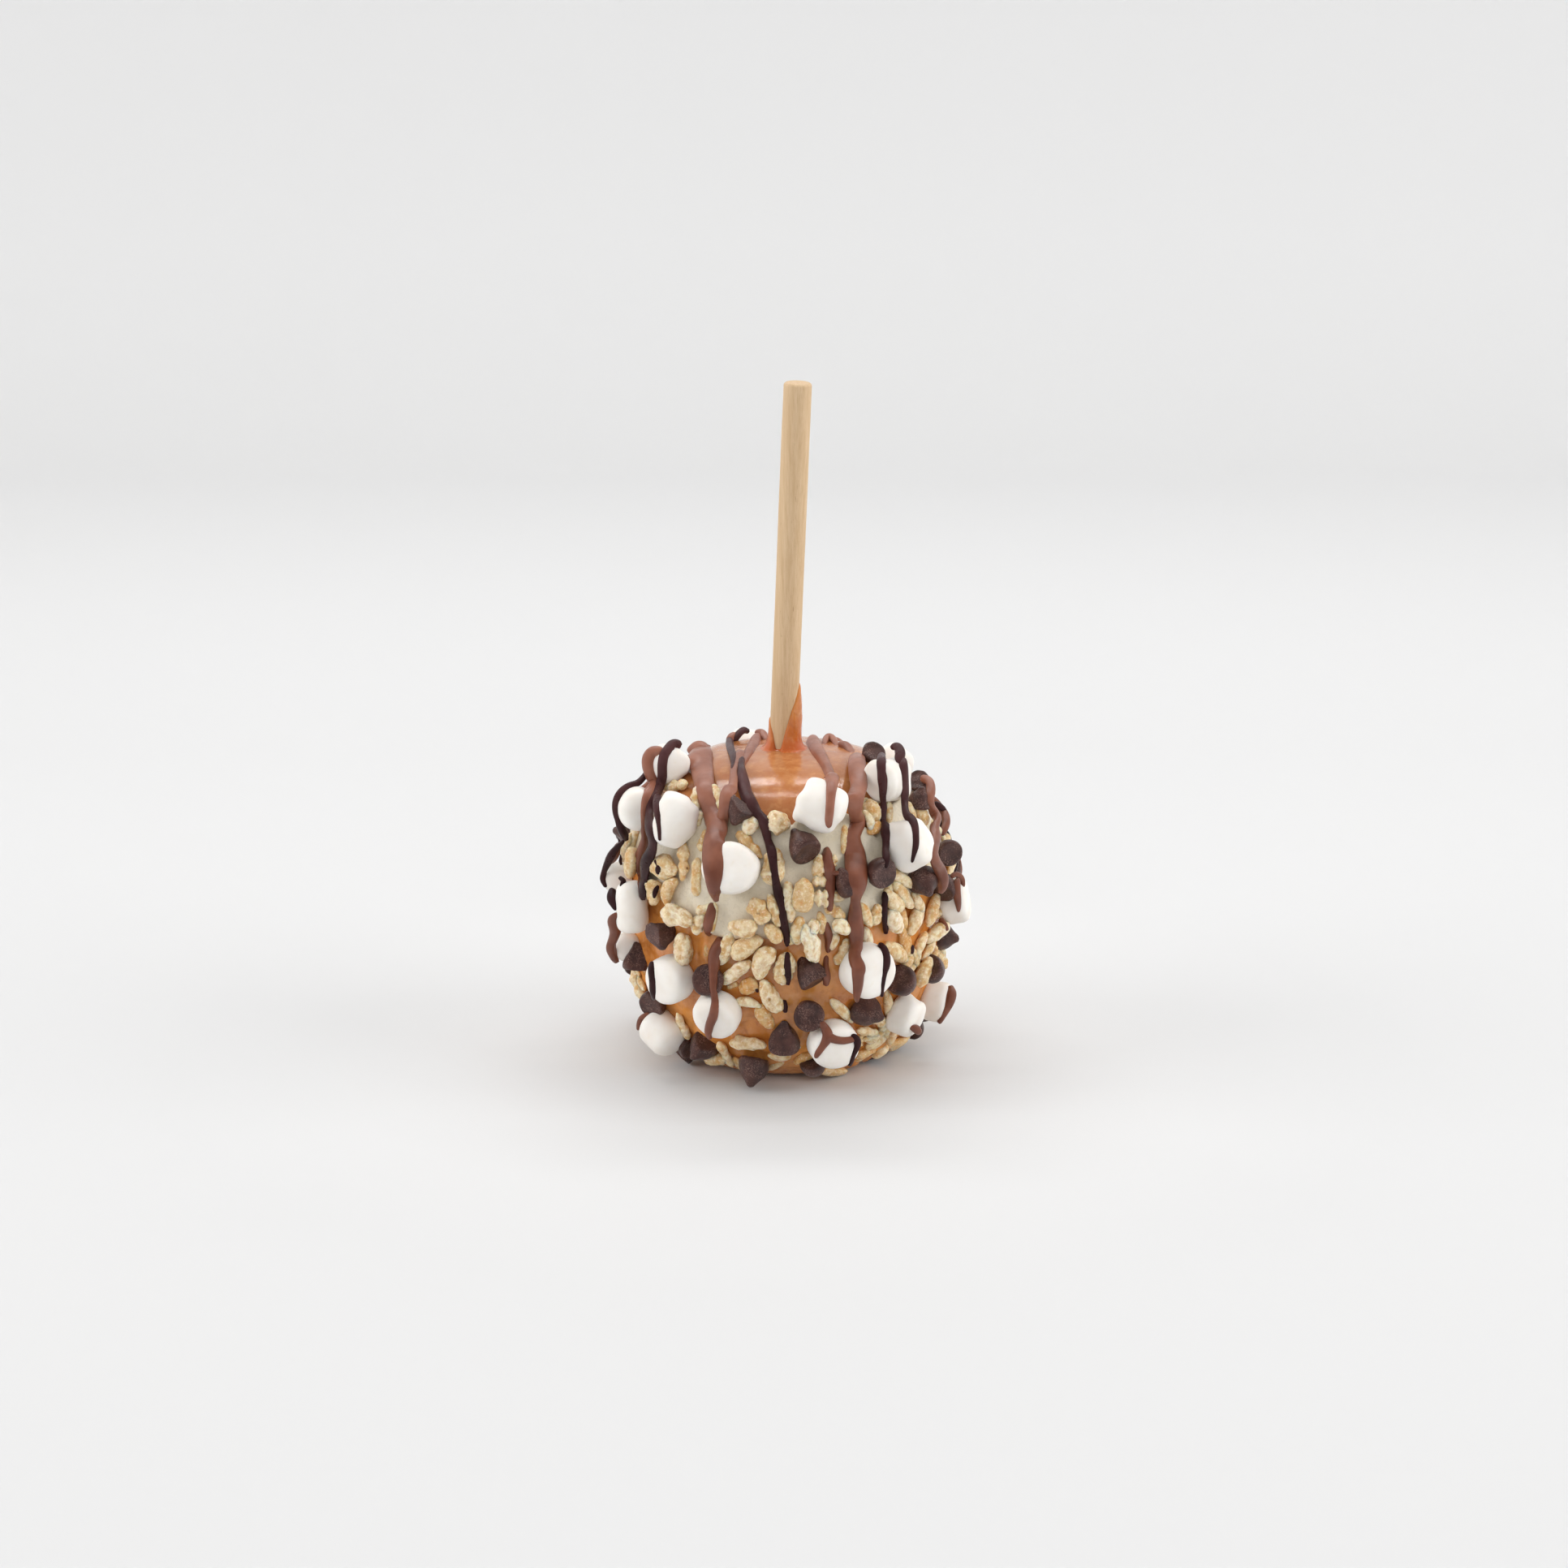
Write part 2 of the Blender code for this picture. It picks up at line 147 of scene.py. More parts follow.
def round_curve(knots, degrees):
    """Value of a smooth closed curve through (degrees, value) knots."""
    n = len(knots)
    at = (degrees + 180.0) % 360.0 - 180.0
    i = max(k for k in range(n) if knots[k][0] <= at)
    x0 = knots[i][0]
    x1 = knots[(i + 1) % n][0] + (360 if i + 1 == n else 0)
    t = (at - x0) / (x1 - x0)
    a, b, c, d = (knots[(i + k) % n][1] for k in (-1, 0, 1, 2))
    return 0.5 * (2 * b + (c - a) * t + (2 * a - 5 * b + 4 * c - d) * t * t
                  + (3 * b - a - 3 * c + d) * t ** 3)


FINE_RZ = spline([(r * APPLE_R, z) for r, z in OUTLINE], 12)
ALONG = np.concatenate([[0], np.cumsum(np.linalg.norm(np.diff(FINE_RZ, axis=0), axis=1))])


def outline_at(z):
    """(radius, normal r, normal z) of the half-outline at a height."""
    r = float(np.interp(z, FINE_RZ[:, 1], FINE_RZ[:, 0]))
    e = 0.0006
    below = float(np.interp(max(z - e, 0.0), FINE_RZ[:, 1], FINE_RZ[:, 0]))
    above = float(np.interp(z + e, FINE_RZ[:, 1], FINE_RZ[:, 0]))
    dz = z + e - max(z - e, 0.0)
    size = math.hypot(dz, above - below)
    return r, dz / size, (below - above) / size


def unround(angle, z):
    """How far out of round the apple is there, as a share of its radius."""
    shoulder = math.exp(-((z - 0.060) / 0.018) ** 2)
    belly = math.sin(math.pi * min(max(z / 0.0700, 0.0), 1.0))
    return (LOBE_DEPTH * shoulder * math.cos(LOBES * (angle - 0.35))
            + OVAL * belly * math.cos(2 * (angle - 0.9)))


def skin(angle, z, off=0.0):
    """A point of the coated apple's surface, or that far off it."""
    r, nr, nz = outline_at(z)
    r = r * (1 + unround(angle, z)) + nr * off
    return r * math.sin(angle), -r * math.cos(angle), z + nz * off


def band(angle):
    """Lower and upper height of the white band in a direction round the apple."""
    degrees = math.degrees(angle)
    return round_curve(BAND_LOW, degrees) / 1000, round_curve(BAND_HIGH, degrees) / 1000


# ------------------------------------------------------------------ noise
def value_noise(p, seed):
    """Smooth noise from -1 to 1 at an array of points."""
    p = np.asarray(p, float)
    i = np.floor(p).astype(np.int64)
    f = p - i
    f = f * f * f * (f * (f * 6 - 15) + 10)

    def corner(dx, dy, dz):
        n = (i[:, 0] + dx) * 374761393 + (i[:, 1] + dy) * 668265263 + (i[:, 2] + dz) * 1442695041 + seed * 97531
        n &= 0xFFFFFFFF
        n = ((n ^ (n >> 13)) * 1274126177) & 0xFFFFFFFF
        n ^= n >> 16
        return (n & 0xFFFFFF) / 8388607.5 - 1.0

    x, y, z = f[:, 0], f[:, 1], f[:, 2]
    low = (corner(0, 0, 0) * (1 - x) + corner(1, 0, 0) * x) * (1 - y) + (corner(0, 1, 0) * (1 - x) + corner(1, 1, 0) * x) * y
    high = (corner(0, 0, 1) * (1 - x) + corner(1, 0, 1) * x) * (1 - y) + (corner(0, 1, 1) * (1 - x) + corner(1, 1, 1) * x) * y
    return low * (1 - z) + high * z


def fbm(p, size, octaves=3, seed=1):
    """Layered noise whose largest lumps are about that size."""
    total, weight, p = 0.0, 1.0, np.asarray(p, float) / size
    for k in range(octaves):
        total = total + weight * value_noise(p * 2 ** k + 17.3 * k, seed + k)
        weight *= 0.5
    return total


def pits(p, size, seed):
    """Distance to the nearest of many scattered points, in units of their spacing."""
    p = np.asarray(p, float) / size
    i = np.floor(p).astype(np.int64)
    best = np.full(len(p), 9.0)
    for dx in (-1, 0, 1):
        for dy in (-1, 0, 1):
            for dz in (-1, 0, 1):
                c = i + np.array([dx, dy, dz])
                spot = c.astype(float)
                for k in range(3):
                    n = c[:, 0] * 374761393 + c[:, 1] * 668265263 + c[:, 2] * 1442695041 + (seed + 7 * k) * 97531
                    n &= 0xFFFFFFFF
                    n = ((n ^ (n >> 13)) * 1274126177) & 0xFFFFFFFF
                    n ^= n >> 16
                    spot[:, k] += (n & 0xFFFFFF) / 16777215.0
                best = np.minimum(best, np.linalg.norm(p - spot, axis=1))
    return best


# ------------------------------------------------------------------ the solids' outside
def make_outside():
    """The outside of apple and band together, as a search tree, and its points."""
    heights = [z for _, z in FINE_RZ[::2]]
    around = 120
    points = []
    for z in heights:
        for k in range(around):
            a = 2 * math.pi * k / around
            low, high = band(a)
            on_band = low - 0.0012 < z < high + 0.0012
            points.append(Vector(skin(a, z, COAT_GAP + COAT_T if on_band else 0.0)))
    faces = []
    for j in range(len(heights) - 1):
        for k in range(around):
            n = (k + 1) % around
            faces.append((j * around + k, j * around + n, (j + 1) * around + n, (j + 1) * around + k))
    return BVHTree.FromPolygons(points, faces), np.array([p[:] for p in points])


OUTSIDE, OUTSIDE_POINTS = make_outside()

# ------------------------------------------------------------------ the view
RIGHT = Vector((1, 0, 0))
FORWARD = Vector((0, math.cos(VIEW_PITCH), -math.sin(VIEW_PITCH)))
UP = Vector((0, math.sin(VIEW_PITCH), math.cos(VIEW_PITCH)))
EYE = Vector(VIEW_AIM) - FORWARD * VIEW_DISTANCE


def view_point(p):
    """Where a point shows in the view, in pixels."""
    away = p - EYE
    scale = VIEW_FOCAL / away.dot(FORWARD)
    return VIEW_CENTRE + away.x * scale, VIEW_CENTRE - away.dot(UP) * scale


def view_points(p):
    """The same for an array of points, with their distances."""
    away = np.asarray(p) - np.array(EYE)
    depth = away @ np.array(FORWARD)
    return (VIEW_CENTRE + away[:, 0] * VIEW_FOCAL / depth,
            VIEW_CENTRE - away @ np.array(UP) * VIEW_FOCAL / depth, depth)


def view_line(px, py):
    return (FORWARD + RIGHT * ((px - VIEW_CENTRE) / VIEW_FOCAL)
            + UP * ((VIEW_CENTRE - py) / VIEW_FOCAL)).normalized()


def seen_at(px, py, lift, far=False):
    """Foot point and normal of what shows at that view point and lies that far off the apple."""
    line = view_line(px, py)
    best = None
    for i in range(480):
        way = 0.060 - i * 0.00025 if far else i * 0.00025 - 0.060
        p = EYE + line * (VIEW_DISTANCE + way)
        foot, normal, _, d = OUTSIDE.find_nearest(p)
        if d <= lift or (p - foot).dot(normal) < 0:
            return foot, smooth_normal(foot)
        if best is None or d < best[0]:
            best = (d, foot)
    return best[1], smooth_normal(best[1])


def smooth_normal(p):
    """Outward normal of the apple at a point on or near it, without the band's step."""
    angle = math.atan2(p[0], -p[1])
    away = FINE_RZ - np.array([math.hypot(p[0], p[1]), p[2]])
    _, nr, nz = outline_at(float(FINE_RZ[int(np.argmin((away ** 2).sum(1))), 1]))
    return Vector((nr * math.sin(angle), -nr * math.cos(angle), nz)).normalized()


def surface_at(degrees, z):
    """Foot point and normal in a direction round the apple, at a height."""
    foot = OUTSIDE.find_nearest(Vector(skin(math.radians(degrees), z, 0.001)))[0]
    return foot, smooth_normal(foot)


# ------------------------------------------------------------------ search trees of what is placed
class Reach:
    """Everything placed so far, for laying the next thing on it."""

    def __init__(self):
        self.trees = []

    def add(self, verts, polys):
        self.trees.append(BVHTree.FromPolygons([Vector(v) for v in verts], polys))

    def hit(self, start, way, far):
        """Distance along a line to the first thing on it, or far."""
        best = far
        for tree in self.trees:
            found = tree.ray_cast(start, way, best)
            if found[0] is not None and found[3] < best:
                best = found[3]
        return best

    def apart(self, p, most):
        """Distance from a point to the nearest thing, at most that far."""
        best = most
        for tree in self.trees:
            found = tree.find_nearest(p, best)
            if found[0] is not None:
                best = min(best, found[3])
        return best

    def nearest(self, p, most):
        """The nearest place on anything, and how far it is, within that distance."""
        place, best = None, most
        for tree in self.trees:
            found = tree.find_nearest(p, best)
            if found[0] is not None and found[3] < best:
                place, best = found[0], found[3]
        return place, best

    def touches(self, tree):
        return any(tree.overlap(other) for other in self.trees)


# ------------------------------------------------------------------ joined meshes
def blob_faces(rings, around):
    """Quads and end triangles of a closed shape of rings between two poles."""
    quads, tris = [], []
    for k in range(around):
        n = (k + 1) % around
        tris.append((0, 1 + n, 1 + k))
        last = 1 + (rings - 1) * around
        tris.append((1 + rings * around, last + k, last + n))
        for j in range(rings - 1):
            a, b = 1 + j * around, 1 + (j + 1) * around
            quads.append((a + k, a + n, b + n, b + k))
    return np.array(quads), np.array(tris)


def loop_faces(rings, around):
    """Quads of a closed shape whose rings of points also come back round to the first."""
    i = np.arange(rings)[:, None]
    k = np.arange(around)[None, :]
    a, b, n = i * around, (i + 1) % rings * around, (k + 1) % around
    return np.stack([a + k, a + n, b + n, b + k], -1).reshape(-1, 4)


def inside_out(verts, quads):
    v = verts - verts.mean(0)
    a, b, c, d = (v[quads[:, k]] for k in range(4))
    return (a * np.cross(b, c)).sum() + (a * np.cross(c, d)).sum() < 0


class Pile:
    """Many closed shapes joined into one piece, with a tone for each point."""

    def __init__(self):
        self.v, self.q, self.t, self.tone, self.n = [], [], [], [], 0

    def add(self, verts, quads, tris, tone):
        verts, quads, tris = np.asarray(verts, float), np.asarray(quads), np.asarray(tris)
        if inside_out(verts, quads):
            quads, tris = quads[:, ::-1], (tris[:, ::-1] if len(tris) else tris)
        self.v.append(verts)
        if len(quads):
            self.q.append(quads + self.n)
        if len(tris):
            self.t.append(tris + self.n)
        self.tone.append(np.broadcast_to(np.asarray(tone, float), (len(verts),)))
        self.n += len(verts)

    def arrays(self):
        v = np.concatenate(self.v)
        q = np.concatenate(self.q) if self.q else np.zeros((0, 4), int)
        t = np.concatenate(self.t) if self.t else np.zeros((0, 3), int)
        return v, q, t

    def polys(self):
        _, q, t = self.arrays()
        return [tuple(f) for f in q.tolist()] + [tuple(f) for f in t.tolist()]

    def piece(self, name, mat):
        v, q, t = self.arrays()
        mesh = bpy.data.meshes.new(name)
        mesh.vertices.add(len(v))
        mesh.vertices.foreach_set("co", v.astype(np.float32).ravel())
        mesh.loops.add(4 * len(q) + 3 * len(t))
        mesh.loops.foreach_set("vertex_index", np.concatenate([q.ravel(), t.ravel()]).astype(np.int32))
        mesh.polygons.add(len(q) + len(t))
        start = np.concatenate([4 * np.arange(len(q)), 4 * len(q) + 3 * np.arange(len(t))])
        mesh.polygons.foreach_set("loop_start", start.astype(np.int32))
        mesh.update(calc_edges=True)
        mesh.validate()
        tone = mesh.attributes.new("tone", "FLOAT", "POINT")
        tone.data.foreach_set("value", np.concatenate(self.tone).astype(np.float32))
        mesh.shade_smooth()
        mesh.materials.append(mat)
        obj = bpy.data.objects.new(name, mesh)
        bpy.context.scene.collection.objects.link(obj)
        return obj


# ------------------------------------------------------------------ materials
class Nodes:
    """Short names for the nodes of one material."""

    def __init__(self, name):
        self.mat = bpy.data.materials.new(name)
        self.mat.use_nodes = True
        self.tree = self.mat.node_tree
        self.shader = self.tree.nodes["Principled BSDF"]
        self.where = self.make("ShaderNodeTexCoord").outputs["Object"]

    def make(self, kind, **settings):
        node = self.tree.nodes.new(kind)
        for key, value in settings.items():
            setattr(node, key, value)
        return node

    def link(self, source, target):
        self.tree.links.new(source, target)

    def scaled(self, scale, turn=None):
        node = self.make("ShaderNodeMapping")
        node.inputs["Scale"].default_value = scale if isinstance(scale, tuple) else (scale,) * 3
        if turn:
            node.inputs["Rotation"].default_value = turn
        self.link(self.where, node.inputs["Vector"])
        return node.outputs[0]

    def noise(self, size_mm, detail=2.0, rough=0.5, warp=0.0, vector=None):
        node = self.make("ShaderNodeTexNoise")
        node.inputs["Scale"].default_value = 1000.0 / size_mm if vector is None else 1.0
        node.inputs["Detail"].default_value = detail
        node.inputs["Roughness"].default_value = rough
        node.inputs["Distortion"].default_value = warp
        self.link(vector or self.where, node.inputs["Vector"])
        return node.outputs["Fac"]

    def cells(self, size_mm, feature="F1"):
        node = self.make("ShaderNodeTexVoronoi", feature=feature)
        node.inputs["Scale"].default_value = 1000.0 / size_mm
        self.link(self.where, node.inputs["Vector"])
        return node.outputs["Distance"]

    def ramp(self, source, low, high, to_low=0.0, to_high=1.0):
        node = self.make("ShaderNodeMapRange", clamp=True)
        for key, value in zip(("From Min", "From Max", "To Min", "To Max"), (low, high, to_low, to_high)):
            node.inputs[key].default_value = value
        self.link(source, node.inputs["Value"])
        return node.outputs["Result"]

    def math(self, operation, a, b):
        node = self.make("ShaderNodeMath", operation=operation)
        for socket, value in zip(node.inputs, (a, b)):
            if isinstance(value, (int, float)):
                socket.default_value = value
            else:
                self.link(value, socket)
        return node.outputs[0]

    def mix(self, factor, a, b, blend="MIX"):
        node = self.make("ShaderNodeMix", data_type="RGBA", blend_type=blend)
        for key, value in ((0, factor), (6, a), (7, b)):
            if isinstance(value, (int, float)):
                node.inputs[key].default_value = value
            elif isinstance(value, tuple):
                node.inputs[key].default_value = (*value, 1.0)
            else:
                self.link(value, node.inputs[key])
        return node.outputs[2]

    def tone(self):
        node = self.make("ShaderNodeAttribute", attribute_name="tone")
        return node.outputs["Fac"]

    def bump(self, height, strength, distance_mm, after=None):
        node = self.make("ShaderNodeBump")
        node.inputs["Strength"].default_value = strength
        node.inputs["Distance"].default_value = distance_mm / 1000.0
        self.link(height, node.inputs["Height"])
        if after:
            self.link(after, node.inputs["Normal"])
        return node.outputs[0]

    def finish(self, colour=None, roughness=None, normal=None, **fixed):
        if colour is not None:
            self.link(colour, self.shader.inputs["Base Color"])
        if roughness is not None:
            if isinstance(roughness, float):
                self.shader.inputs["Roughness"].default_value = roughness
            else:
                self.link(roughness, self.shader.inputs["Roughness"])
        if normal is not None:
            self.link(normal, self.shader.inputs["Normal"])
        for key, value in fixed.items():
            self.shader.inputs[key.replace("_", " ")].default_value = value
        return self.mat


def srgb(r, g, b):
    """Linear colour of a 0 to 255 screen colour."""
    return tuple((c / 255 / 12.92) if c <= 10 else ((c / 255 + 0.055) / 1.055) ** 2.4 for c in (r, g, b))


def caramel_material(name="poured_caramel", deep=(174, 106, 59), bright=(188, 124, 77)):
    n = Nodes(name)
    broad = n.noise(11, 3.0, 0.55)
    fine = n.noise(2.4, 3.0, 0.6)
    high = n.mix(n.ramp(broad, 0.35, 0.68), srgb(*deep), srgb(*bright))
    low = n.mix(n.ramp(broad, 0.32, 0.66), srgb(188, 110, 44), srgb(220, 150, 78))
    low = n.mix(n.ramp(n.noise(6.5, 3.0, 0.6, 0.6), 0.54, 0.70, 0.0, 0.60), low, srgb(156, 90, 42))
    colour = n.mix(n.tone(), high, low)
    colour = n.mix(n.ramp(fine, 0.50, 0.75, 0.0, 0.5), colour, srgb(218, 160, 104))
    colour = n.mix(n.ramp(fine, 0.42, 0.28, 0.0, 0.45), colour, srgb(166, 92, 40))
    grain = n.noise(0.40, 2.0, 0.6)
    swell = n.noise(3.4, 2.0)
    normal = n.bump(swell, 0.25, 0.16)
    normal = n.bump(grain, 0.70, 0.045, normal)
    rough = n.ramp(n.noise(1.1, 3.0), 0.3, 0.75, 0.04, 0.09)
    return n.finish(colour, rough, normal, IOR=1.5, Specular_IOR_Level=0.62)


def white_material():
    n = Nodes("white_confection")
    broad = n.noise(9, 2.0)
    colour = n.mix(n.ramp(broad, 0.35, 0.7), srgb(212, 200, 176), srgb(226, 216, 196))
    colour = n.mix(n.ramp(n.noise(1.8, 3.0), 0.5, 0.8, 0.0, 0.4), colour, srgb(208, 192, 152))
    colour = n.mix(n.tone(), colour, srgb(214, 162, 104))
    normal = n.bump(n.noise(2.4, 3.0), 0.3, 0.2)
    rough = n.ramp(n.noise(0.9, 2.0), 0.3, 0.7, 0.22, 0.36)
    return n.finish(colour, rough, normal, Specular_IOR_Level=0.6)


def mallow_material():
    n = Nodes("marshmallow")
    broad = n.noise(5, 2.0)
    colour = n.mix(n.ramp(broad, 0.35, 0.7), srgb(238, 231, 222), srgb(245, 241, 235))
    colour = n.mix(n.ramp(n.noise(2.2, 2.0), 0.62, 0.8, 0.0, 0.35), colour, srgb(232, 219, 198))
    powder = n.noise(0.24, 3.0, 0.65)
    wrinkle = n.noise(1.5, 3.0, 0.55, 0.6)
    normal = n.bump(wrinkle, 0.16, 0.12)
    normal = n.bump(powder, 0.16, 0.03, normal)
    rough = n.ramp(powder, 0.3, 0.7, 0.58, 0.74)
    return n.finish(colour, rough, normal, Subsurface_Weight=0.12, Subsurface_Radius=(0.004, 0.003, 0.002),
                    Subsurface_Scale=0.5, Specular_IOR_Level=0.35)


def rice_material():
    n = Nodes("crisped_rice")
    tone = n.tone()
    broad = n.noise(2.6, 3.0, 0.6)
    crinkle = n.noise(0.55, 3.0, 0.62, 0.4)
    blister = n.cells(0.62, "SMOOTH_F1")
    sharp = n.noise(0.30, 3.0, 0.65, 0.5)
    colour = n.mix(n.ramp(broad, 0.34, 0.70), srgb(225, 204, 160), srgb(202, 160, 100))
    # the tone is each grain's own tone plus painted shade in its creases, pits and underside: low tones are paler, high
    # ones golden
    colour = n.mix(n.ramp(tone, 0.42, 0.0, 0.0, 0.75), colour, srgb(251, 244, 222))
    colour = n.mix(n.ramp(tone, 0.42, 0.95, 0.0, 0.85), colour, srgb(212, 150, 74))
    # painted shade in the low parts of the surface (between blisters, in crinkle pits and fine pits) and a painted
    # highlight on the raised crinkles
    colour = n.mix(n.ramp(blister, 0.42, 0.75, 0.0, 0.20), colour, srgb(196, 146, 84))
    colour = n.mix(n.ramp(crinkle, 0.53, 0.70, 0.0, 0.38), colour, srgb(190, 138, 78))
    colour = n.mix(n.ramp(crinkle, 0.46, 0.32, 0.0, 0.45), colour, srgb(255, 250, 236))
    colour = n.mix(n.ramp(sharp, 0.62, 0.72, 0.0, 0.28), colour, srgb(152, 104, 56))
    spots = n.noise(2.1, 1.0, 0.4)
    colour = n.mix(n.ramp(spots, 0.765, 0.81), colour, srgb(132, 84, 42))
    normal = n.bump(n.noise(1.1, 3.0, 0.6), 0.30, 0.18)
    normal = n.bump(n.ramp(blister, 0.0, 0.8, 1.0, 0.0), 0.42, 0.13, normal)
    normal = n.bump(n.ramp(crinkle, 0.3, 0.72, 1.0, 0.0), 0.32, 0.12, normal)
    normal = n.bump(n.ramp(sharp, 0.4, 0.75, 1.0, 0.0), 0.14, 0.05, normal)
    rough = n.ramp(broad, 0.3, 0.7, 0.34, 0.54)
    return n.finish(colour, rough, normal, Subsurface_Weight=0.60, Subsurface_Radius=(0.003, 0.002, 0.001),
                    Subsurface_Scale=0.5)


def chip_material():
    n = Nodes("chocolate_chip")
    broad = n.noise(3.0, 3.0, 0.6)
    colour = n.mix(n.ramp(broad, 0.35, 0.7), srgb(52, 30, 27), srgb(82, 51, 44))
    scuff = n.noise(0.30, 3.0, 0.7, 0.25)
    where = n.noise(2.6, 2.0)
    bloom = n.math("MULTIPLY", n.ramp(scuff, 0.50, 0.61), n.ramp(where, 0.40, 0.62, 0.08, 1.0))
    colour = n.mix(n.math("MULTIPLY", bloom, 0.60), colour, srgb(146, 114, 104))
    colour = n.mix(n.ramp(n.noise(0.9, 1.0), 0.79, 0.83, 0.0, 0.6), colour, srgb(176, 140, 120))
    normal = n.bump(scuff, 0.40, 0.05)
    normal = n.bump(n.noise(1.3, 3.0), 0.40, 0.18, normal)
    rough = n.ramp(scuff, 0.35, 0.65, 0.30, 0.48)
    return n.finish(colour, rough, normal, Specular_IOR_Level=0.45)


def drizzle_material(name, dark, light, painted_lit_top_dark, painted_lit_top_pale, low, high, gloss):
    n = Nodes(name)
    apart = n.make("ShaderNodeSeparateXYZ")
    n.link(n.where, apart.inputs[0])
    # painted light: the drizzle turns paler higher up the apple, where light and sheen from above and behind fall on it
    painted_light_up_high = n.math("ADD", n.ramp(apart.outputs[2], 0.055, 0.069), n.ramp(n.noise(6.0, 2.0), 0.3, 0.7, -0.15, 0.15))
    painted_light_up_high = n.ramp(painted_light_up_high, 0.0, 1.0)
    wave = n.ramp(n.noise(4.0, 2.0), 0.35, 0.7)
    colour = n.mix(painted_light_up_high, n.mix(wave, dark, light), n.mix(wave, painted_lit_top_dark, painted_lit_top_pale))
    streaks = n.noise(0, 2.0, 0.5, 0.0, n.scaled((900.0, 900.0, 160.0)))
    colour = n.mix(n.ramp(streaks, 0.45, 0.8, 0.0, 0.25), colour, n.mix(painted_light_up_high, light, painted_lit_top_pale))
    rough = n.ramp(n.noise(1.3, 3.0), 0.3, 0.7, low, high)
    return n.finish(colour, rough, Specular_IOR_Level=gloss)


def wood_material():
    n = Nodes("birch_wood")
    lean = (math.atan(-STICK_LEAN_Y), math.atan(STICK_LEAN_X), 0.0)
    long_grain = n.noise(0, 4.0, 0.6, 0.3, n.scaled((1300.0, 1300.0, 36.0), lean))
    fibre = n.noise(0, 3.0, 0.65, 0.0, n.scaled((4600.0, 4600.0, 110.0), lean))
    colour = n.mix(n.ramp(long_grain, 0.30, 0.72), srgb(200, 168, 128), srgb(216, 188, 152))
    colour = n.mix(n.ramp(fibre, 0.50, 0.74, 0.0, 0.45), colour, srgb(182, 146, 104))
    pores = n.noise(0, 2.0, 0.5, 0.0, n.scaled((3200.0, 3200.0, 420.0), lean))
    colour = n.mix(n.ramp(pores, 0.68, 0.76, 0.0, 0.5), colour, srgb(160, 122, 82))
    normal = n.bump(fibre, 0.30, 0.05)
    normal = n.bump(long_grain, 0.15, 0.06, normal)
    rough = n.ramp(fibre, 0.3, 0.7, 0.50, 0.70)
    return n.finish(colour, rough, normal)


# ------------------------------------------------------------------ marshmallows: the solids' layout
def mallow_place(foot, normal, diameter, length, lean, clock):
    """Centre, axis and the pressed-flat plane of a marshmallow on the apple."""
    tangent_up = Vector((0, 0, 1)) - normal * normal.z
    tangent_up.normalize()
    right = tangent_up.cross(normal)
    way = (tangent_up * math.cos(math.radians(clock)) + right * math.sin(math.radians(clock)))
    axis = (normal * math.cos(math.radians(lean)) + way * math.sin(math.radians(lean))).normalized()
    out = abs(axis.dot(normal))
    reach = out * length / 2 + math.sqrt(1 - min(out, 1.0) ** 2) * diameter / 2
    side = math.sqrt(1 - min(out, 1.0) ** 2) * length / 2 + out * diameter / 2
    off = OUTSIDE_POINTS - np.array(foot)
    height = off @ np.array(normal)
    apart = np.linalg.norm(off - height[:, None] * np.array(normal), axis=1)
    seat = foot + normal * (max(0.0, float(height[apart < 0.6 * side].max(initial=0.0))) + GAP)
    return seat + normal * (0.88 * reach), axis, seat


def mallow_seen_at(px, py, diameter, length, lean, clock, far):
    """Foot point and normal of a marshmallow whose middle shows at that view point."""
    out = math.cos(math.radians(lean))
    lift = (out * length / 2 + math.sqrt(1 - out ** 2) * diameter / 2) * 0.9
    ax, ay, best = px, py, None
    for _ in range(8):
        foot, normal = seen_at(ax, ay, lift, far)
        shown = view_point(mallow_place(foot, normal, diameter, length, lean, clock)[0])
        miss = math.hypot(px - shown[0], py - shown[1])
        if best is None or miss < best[0]:
            best = (miss, foot, normal)
        ax += 0.6 * max(-6.0, min(6.0, px - shown[0]))
        ay += 0.6 * max(-6.0, min(6.0, py - shown[1]))
    return best[1], best[2]


